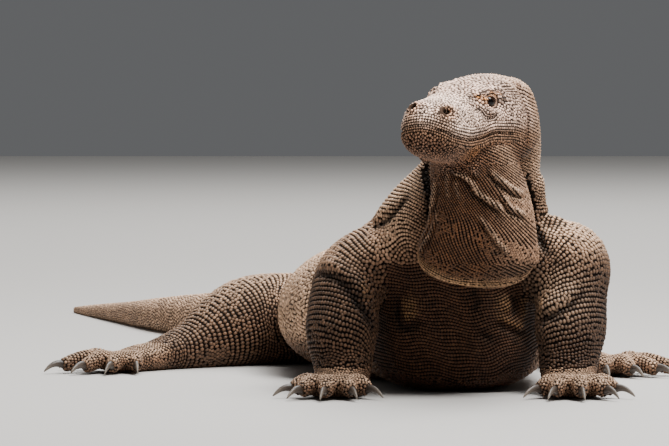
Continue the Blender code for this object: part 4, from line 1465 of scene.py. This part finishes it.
# Scales.
scaleShape = {
    'sides': 6,
    'shoulder': 0.80,       # the upper rim against the base
    'crown': 0.34,          # how far the middle stands over the rim
    'height': 0.46,         # of its width
    'headHeight': 0.44,
    'sunk': 0.25,           # of its height
    'cover': 1.13,          # width against the room along the row
    'coverAhead': 0.99,     # length against the room between rows
    'longer': {'throat': 1.15, 'neck': 1.06, 'breast': 1.05, 'head': 0.93},   # along the row
    'leaner': {'throat': 0.86, 'neck': 0.93, 'breast': 0.92, 'head': 0.86},   # across it
    'lengths': (0.72, 1.7),     # least and most, against the width
    'wobble': 0.07,
    'headWobble': 0.13,
    'lean': 0.10,
    'floorGap': 0.0002,
    'patch': 0.003,         # side of a scale's patch on its map
}


def scaleOf():
    # one scale: a low six-sided dome, 1 across and from 0 to 1 high
    bm = bmesh.new()
    bmesh.ops.create_cone(bm, cap_ends=True, segments=scaleShape['sides'], radius1=0.5,
                          radius2=0.5 * scaleShape['shoulder'], depth=1 - scaleShape['crown'])
    bmesh.ops.translate(bm, verts=bm.verts, vec=(0, 0, 0.5 - scaleShape['crown'] / 2))
    top = [f for f in bm.faces if f.normal.z > 0.9]
    bmesh.ops.poke(bm, faces=top, offset=scaleShape['crown'])
    bmesh.ops.triangulate(bm, faces=bm.faces)
    bm.verts.ensure_lookup_table()
    points = np.array([v.co for v in bm.verts])
    faces = np.array([[v.index for v in f.verts] for f in bm.faces])
    bm.free()
    return points, faces


def surfacePlace(points, normals, name):
    # around and along the form a piece covers: an unwrap of the hide's own shape
    if name == 'head':
        place = headPlaces(points)
        return np.arctan2(place[:, 0], -place[:, 2] + 0.02), place[:, 1]
    if name == 'throat':
        return np.arctan2(points[:, 0] - 0.065, 0.44 + points[:, 1] - 0.03), points[:, 2]
    for foot in feet:
        if foot[0] == name:
            # top and sole side by side
            off = points - np.array(foot[1]) + np.array(restPoint)
            ahead = np.array(headingOf(foot[2]))
            aside = np.cross((0, 0, 1.0), ahead)
            return off @ aside + np.where(normals[:, 2] < 0, 0.25, 0), off @ ahead
    axis = {'neck': neckAxis, 'tail': tailAxis, 'arm_left': limbAxes[0], 'arm_right': limbAxes[1],
            'leg_left': limbAxes[2], 'leg_right': limbAxes[3]}.get(name, trunkAxis)
    count, across, rise, out = placeOn(axis, points)
    return np.arctan2(across, -rise), count


def spread(values):
    low, high = values.min(), values.max()
    return 0.01 + 0.98 * (values - low) / max(high - low, 1e-9)


def pieceNames(points, normals, region):
    x, y, z = points.T
    facing = normals[:, 2]
    names = np.full(len(points), 'back', object)
    names[facing < 0.35] = 'flank_left'
    names[(facing < 0.35) & (normals[:, 0] < 0)] = 'flank_right'
    names[facing < -0.55] = 'belly'
    names[y > 0.335] = 'tail'
    names[(z > 0.19) & (y < -0.27)] = 'neck'
    names[(y < -0.425) & (z > 0.13)] = 'throat'
    names[chestShare(points) > 0.5] = 'breast'
    for i, name in enumerate(limbNames):
        names[region == i + 1] = name
        names[region == i + 5] = feet[i][0]
    names[headShare(points) > 0.5] = 'head'
    return names


def coatOf(name, seats, colours, draw):
    base, faces = scaleOf()
    many, corners = len(seats), len(base)
    places, normals, ahead = seats[:, placePart], unit(seats[:, normalPart]), seats[:, aheadPart]
    along = unit(ahead - normals * (ahead * normals).sum(1)[:, None])
    back = np.cross(normals, along)
    width = seats[:, wideAt] * scaleShape['cover'] * scaleShape['longer'].get(name, 1)
    least, most = scaleShape['lengths']
    length = np.clip(seats[:, longAt], seats[:, wideAt] * least, seats[:, wideAt] * most)
    length *= scaleShape['coverAhead'] * scaleShape['leaner'].get(name, 1)
    loose = seats[:, rowAt] == looseRow
    length[loose] = width[loose]
    atHead = name == 'head'
    wobble = scaleShape['headWobble' if atHead else 'wobble']
    width = width * (1 + draw.normal(0, wobble, many))
    length = length * (1 + draw.normal(0, wobble, many))
    share = scaleShape['headHeight' if atHead else 'height']
    height = np.minimum(width, length) * share * (1 + draw.normal(0, scaleShape['lean'], many))
    lean = draw.normal(0, scaleShape['lean'], (many, 2))
    x, y, z = base[:, 0], base[:, 1], base[:, 2]
    points = (places[:, None]
              + along[:, None] * (width[:, None] * x)[:, :, None]
              + back[:, None] * (length[:, None] * y)[:, :, None]
              + normals[:, None] * (height[:, None] * (z - scaleShape['sunk']
                                    + x * lean[:, :1] + y * lean[:, 1:]))[:, :, None])
    points = points.reshape(-1, 3)
    points[:, 2] = np.maximum(points[:, 2], scaleShape['floorGap'])
    allFaces = (faces[None] + (np.arange(many) * corners)[:, None, None]).reshape(-1, 3)
    mesh = bpy.data.meshes.new('scales_' + name)
    mesh.vertices.add(len(points))
    mesh.vertices.foreach_set('co', points.astype(np.float32).ravel())
    mesh.loops.add(allFaces.size)
    mesh.loops.foreach_set('vertex_index', allFaces.astype(np.int32).ravel())
    mesh.polygons.add(len(allFaces))
    mesh.polygons.foreach_set('loop_start', np.arange(0, allFaces.size, 3, dtype=np.int32))
    mesh.update(calc_edges=True)
    mesh.validate()
    mesh.polygons.foreach_set('use_smooth', np.ones(len(allFaces), bool))
    around, run = surfacePlace(places, normals, name)
    u, v = spread(around), spread(run)
    patch = scaleShape['patch']
    uvs = np.stack([u[:, None] + x[None] * patch, v[:, None] + y[None] * patch], 2).reshape(-1, 2)
    bake = mesh.uv_layers.new(name='OFBake')
    bake.data.foreach_set('uv', uvs[allFaces.ravel()].astype(np.float32).ravel())
    paint(mesh, np.repeat(colours, corners, 0))
    # height within each scale, which the material turns into painted shade at its foot and painted light on
    # top
    give(mesh, 'rise', np.tile(z, many))
    give(mesh, 'lot', np.repeat(draw.random(many), corners))
    obj = bpy.data.objects.new('scales_' + name, mesh)
    bpy.context.scene.collection.objects.link(obj)
    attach(obj, 'root')
    return obj


def paint(mesh, colours):
    # markings with their painted light and shade
    layer = mesh.color_attributes.new('markingAndShade', 'FLOAT_COLOR', 'POINT')
    full = np.hstack([np.clip(colours, 0, 1), np.ones((len(colours), 1))])
    layer.data.foreach_set('color', full.astype(np.float32).ravel())


def give(mesh, name, values):
    layer = mesh.attributes.new(name, 'FLOAT', 'POINT')
    layer.data.foreach_set('value', np.asarray(values, np.float32))


pointTree = treeOf(hidePoints)
seatPlaces, seatNormals = seats[:, placePart], seats[:, normalPart]
seatPoint = np.array([pointTree.find(place)[1] for place in seatPlaces.tolist()])
seatRegion = hideRegion[seatPoint]
seatColours = markingsAndShadeOf(seatPlaces, seatNormals, seatRegion, hidePush[seatPoint])
seatNames = pieceNames(seatPlaces, seatNormals, seatRegion)
draw = np.random.default_rng(rowPlan['seed'] + 1)
coats = []
for name in sorted(set(seatNames)):
    mine = seatNames == name
    coats.append(coatOf(name, seats[mine], seatColours[mine], draw))
    print('scales_' + name, int(mine.sum()), 'scales,', len(coats[-1].data.polygons), 'faces')


# The hide, thinned for its size.
def finishHide():
    colours = markingsAndShadeOf(hidePoints, hideNormals, hideRegion, hidePush)
    place = headPlaces(hidePoints)
    # painted shade between scales: the hide keeps a small share of their colour, twice that between the
    # head's cobbles outside its creases
    paler = (1 - ramp(place[:, 1], 0.66, 1.00)) * ramp(place[:, 2], -0.10, -0.04) * (hidePush > -0.0012)
    shade = body['gapShade'] * (1 + paler)
    paint(hide.data, colours * shade[:, None])
    thin = hide.modifiers.new('Thin', 'DECIMATE')
    thin.ratio = body['hideTriangles'] / len(hide.data.polygons)
    graph = bpy.context.evaluated_depsgraph_get()
    mesh = bpy.data.meshes.new_from_object(hide.evaluated_get(graph), depsgraph=graph)
    hide.modifiers.clear()
    hide.data = mesh
    mesh.name = 'hide'
    points = coordsOf(mesh)
    points[:, 2] = np.maximum(points[:, 2], body['floorGap'])
    setCoords(mesh, points)
    mesh.polygons.foreach_set('use_smooth', np.ones(len(mesh.polygons), bool))
    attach(hide, 'root')
    flesh = [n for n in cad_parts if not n.startswith(('eye', 'claw'))]
    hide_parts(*flesh)


finishHide()
print('hide', len(hide.data.polygons), 'faces')


# Eyes.
eyeShape = {
    'bulge': 0.05,       # of the radius
    'cornea': 30.0,      # this and the rest in degrees from the gaze
    'pupil': 19.0,
    'iris': 31.0,
}


def eyeOf(flip, name):
    middle, gaze, along, across = eyeFrame(flip)
    turned = Matrix((along, across, gaze)).transposed().to_4x4()
    bm = bmesh.new()
    bmesh.ops.create_uvsphere(bm, u_segments=40, v_segments=28, radius=eyes['radius'],
                              matrix=Matrix.Translation(Vector(middle)) @ turned)
    angles = []
    for v in bm.verts:
        way = (v.co - Vector(middle)).normalized()
        angle = math.degrees(way.angle(Vector(gaze)))
        angles.append(angle)
        v.co += way * eyes['radius'] * eyeShape['bulge'] * bell(angle / eyeShape['cornea'])
    obj = objectOf(name, bm)
    give(obj.data, 'ring', angles)
    obj.data.shade_smooth()
    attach(obj, 'root')
    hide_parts(name)
    return obj


eyeballs = [eyeOf(1, 'eye_left'), eyeOf(-1, 'eye_right')]


# Claws.
clawShape = {'length': 0.030, 'radius': 0.0060, 'tip': 0.0007, 'narrow': 0.72, 'arch': 0.0035,
             'sunk': 0.004, 'steps': 9, 'sides': 14}


def clawOf(foot, index, digit):
    line, out = digitLine(foot, digit)
    root = line[2]
    rows = []
    for step in range(clawShape['steps'] + 1):
        t = step / clawShape['steps']
        ahead = out * (clawShape['length'] * t - clawShape['sunk'])
        lift = clawShape['arch'] * math.sin(t * math.pi * 0.9)
        middle = root + ahead + Vector((0, 0, lift - max(0.0, root.z - 0.0025) * t * t))
        r = clawShape['radius'] * (1 - t) ** 0.75 + clawShape['tip'] * t
        rows.append((*middle, r * clawShape['narrow'], r, r, 2.0))
    bm = bmesh.new()
    loft(bm, rows, upward, 1, clawShape['sides'])
    bmesh.ops.recalc_face_normals(bm, faces=bm.faces)
    bmesh.ops.translate(bm, verts=bm.verts, vec=-restPoint)
    name = 'claw_%s_%d' % (foot[0], index + 1)
    obj = objectOf(name, bm)
    root = np.array(root - restPoint)
    points = coordsOf(obj.data)
    give(obj.data, 'ahead', ((points - root) @ np.array(out)) / clawShape['length'])
    obj.data.shade_smooth()
    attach(obj, 'root')
    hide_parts(name)
    return obj


claws = [clawOf(foot, i, digit) for foot in feet for i, digit in enumerate(foot[5])]
print('eyes and', len(claws), 'claws')


# Materials.
def newMaterial(name):
    material = bpy.data.materials.new(name)
    material.use_nodes = True
    tree = material.node_tree
    return material, tree, tree.nodes['Principled BSDF']


def node(tree, kind, **values):
    made = tree.nodes.new(kind)
    for key, value in values.items():
        if hasattr(made, key):
            setattr(made, key, value)
        else:
            made.inputs[key.replace('_', ' ')].default_value = value
    return made


def attribute(tree, name):
    return node(tree, 'ShaderNodeAttribute', attribute_name=name)


def noise(tree, scale, detail, rough=0.6):
    coords = node(tree, 'ShaderNodeTexCoord')
    made = node(tree, 'ShaderNodeTexNoise', Scale=scale, Detail=detail, Roughness=rough)
    tree.links.new(coords.outputs['Object'], made.inputs['Vector'])
    return made.outputs['Fac']


def remap(tree, value, *span):
    # span: low, high and what they become
    made = node(tree, 'ShaderNodeMapRange')
    for key, number in zip(('From Min', 'From Max', 'To Min', 'To Max'), span):
        made.inputs[key].default_value = number
    tree.links.new(value, made.inputs['Value'])
    return made.outputs['Result']


def product(tree, one, two):
    made = node(tree, 'ShaderNodeMath', operation='MULTIPLY')
    tree.links.new(one, made.inputs[0])
    tree.links.new(two, made.inputs[1])
    return made.outputs[0]


def bumped(tree, shader, height, strength, distance):
    bump = node(tree, 'ShaderNodeBump', Strength=strength, Distance=distance)
    tree.links.new(height, bump.inputs['Height'])
    tree.links.new(bump.outputs['Normal'], shader.inputs['Normal'])


def tonesAlong(tree, value, stops):
    # a colour that changes with a value, from stops of (value, colour)
    ramp = node(tree, 'ShaderNodeValToRGB')
    elements = ramp.color_ramp.elements
    for i, (position, colour) in enumerate(stops):
        stop = elements[i] if i < 2 else elements.new(position)
        stop.position = position
        stop.color = (*colour, 1)
    tree.links.new(value, ramp.inputs['Fac'])
    return ramp.outputs['Color']


def scaled(tree, colour, value):
    made = node(tree, 'ShaderNodeVectorMath', operation='SCALE')
    tree.links.new(colour, made.inputs[0])
    tree.links.new(value, made.inputs['Scale'])
    return made.outputs[0]


# lights: attribute, its low and high, lightness there; 'rise' makes painted shade at a scale's foot and
# painted light on its top. mottles: a noise's scale and detail, then the same. fine: scale and detail of
# the
# noise behind roughness and bump. stops: value, colour.
finishes = {
    'scales': {
        # painted shade at each scale's foot, painted light on its top
        'lights': (('rise', 0.25, 0.95, 0.02, 1.55), ('lot', 0.0, 1.0, 0.64, 1.36)),
        'mottles': ((9.0, 4.0, 0.35, 0.65, 0.78, 1.20), (420.0, 3.0, 0.3, 0.7, 0.86, 1.12)),
        'fine': (1500.0, 3.0), 'roughness': (0.40, 0.58), 'shine': 0.28, 'bump': (0.35, 0.0004),
    },
    'hide_between_scales': {
        'mottles': ((160.0, 4.0, 0.3, 0.7, 0.75, 1.25),),
        'fine': (900.0, 4.0), 'roughness': 0.8, 'shine': 0.1, 'bump': (0.5, 0.0006),
    },
    'eye': {
        'along': ('ring', 0, 90),        # degrees from the gaze
        'stops': ((eyeShape['pupil'] / 90, (0.003, 0.002, 0.002)),
                  (eyeShape['pupil'] / 90 + 0.02, (0.016, 0.007, 0.004)),
                  (eyeShape['iris'] / 90 - 0.03, (0.034, 0.014, 0.006)),
                  (eyeShape['iris'] / 90 + 0.02, (0.012, 0.007, 0.005))),
        'mottles': ((900.0, 4.0, 0.3, 0.7, 0.7, 1.3),),
        'roughness': 0.10, 'shine': 0.22,
    },
    'horn': {
        'along': ('ahead', 0, 1),
        'stops': ((0.05, (0.040, 0.028, 0.021)), (0.95, (0.24, 0.20, 0.16)),
                  (0.45, (0.10, 0.078, 0.062))),
        'mottles': ((700.0, 5.0, 0.3, 0.7, 0.7, 1.25), (90.0, 3.0, 0.3, 0.7, 0.75, 1.15)),
        'fine': (700.0, 5.0), 'roughness': (0.30, 0.50), 'bump': (0.3, 0.0003),
    },
}
finishes['head_scales'] = {**finishes['scales'], 'lights': (('rise', 0.25, 0.95, 0.02, 1.55),
                                                            ('lot', 0.0, 1.0, 0.52, 1.48))}


def lookOf(name):
    finish = finishes[name]
    material, tree, shader = newMaterial(name)
    if 'stops' in finish:
        what, low, high = finish['along']
        value = remap(tree, attribute(tree, what).outputs['Fac'], low, high, 0, 1)
        colour = tonesAlong(tree, value, finish['stops'])
    else:
        # markings with their painted light and shade
        colour = attribute(tree, 'markingAndShade').outputs['Color']
    lights = [remap(tree, attribute(tree, what).outputs['Fac'], *span)
              for what, *span in finish.get('lights', ())]
    lights += [remap(tree, noise(tree, scale, detail), *span)
               for scale, detail, *span in finish['mottles']]
    light = lights[0]
    for other in lights[1:]:
        light = product(tree, light, other)
    tree.links.new(scaled(tree, colour, light), shader.inputs['Base Color'])
    if 'shine' in finish:
        shader.inputs['Specular IOR Level'].default_value = finish['shine']
    if 'fine' in finish:
        fine = noise(tree, *finish['fine'])
        bumped(tree, shader, fine, *finish['bump'])
    if isinstance(finish['roughness'], tuple):
        tree.links.new(remap(tree, fine, 0.3, 0.7, *finish['roughness']), shader.inputs['Roughness'])
    else:
        shader.inputs['Roughness'].default_value = finish['roughness']
    return material


looks = {name: lookOf(name) for name in finishes}
for coat in coats:
    coat.data.materials.append(looks['head_scales' if coat.name == 'scales_head' else 'scales'])
hide.data.materials.append(looks['hide_between_scales'])
for eyeball in eyeballs:
    eyeball.data.materials.append(looks['eye'])
for claw in claws:
    claw.data.materials.append(looks['horn'])


# Floor, light and camera.
studio = {
    'floor': (0.55, 0.53, 0.50),
    'lights': {          # place, aim, watts, size
        'key': ((1.2, -1.7, 3.2), (0.0, -0.3, 0.15), 190.0, 1.5),
        'top': ((0.5, 0.3, 3.3), (0.0, 0.0, 0.15), 110.0, 2.0),
        'back': ((0.6, 5.0, 4.6), (0.2, 4.2, 0.0), 420.0, 5.0),
    },
    'sky': (0.95, 0.97, 1.0),
    'skyLight': 0.13,
    'camera': (-0.106, -6.4, 0.444),
    'cameraDown': 2.18,      # degrees
    'lens': 258.3,
}


def addLight(name, place, aim, power, size):
    data = bpy.data.lights.new(name, 'AREA')
    data.energy = power
    data.size = size
    light = bpy.data.objects.new(name, data)
    light.location = place
    light.rotation_euler = (Vector(aim) - Vector(place)).to_track_quat('-Z', 'Y').to_euler()
    bpy.context.scene.collection.objects.link(light)


bm = bmesh.new()
bmesh.ops.create_grid(bm, x_segments=2, y_segments=2, size=12.0)
floor = objectOf('floor', bm)
floorLook, floorShader = newMaterial('floor')[::2]
floorShader.inputs['Base Color'].default_value = (*studio['floor'], 1)
floorShader.inputs['Roughness'].default_value = 0.85
floor.data.materials.append(floorLook)
for name, (place, aim, power, size) in studio['lights'].items():
    addLight(name, place, aim, power, size)
world = bpy.data.worlds.new('studio')
world.use_nodes = True
sky = world.node_tree.nodes['Background'].inputs
sky['Color'].default_value = (*studio['sky'], 1)
sky['Strength'].default_value = studio['skyLight']
bpy.context.scene.world = world

camera = bpy.data.objects.new('camera', bpy.data.cameras.new('camera'))
camera.location = studio['camera']
camera.rotation_euler = (math.radians(90 - studio['cameraDown']), 0, 0)
camera.data.lens = studio['lens']
camera.data.sensor_width = 36.0
camera.data.clip_end = 60.0
bpy.context.scene.collection.objects.link(camera)
bpy.context.scene.camera = camera
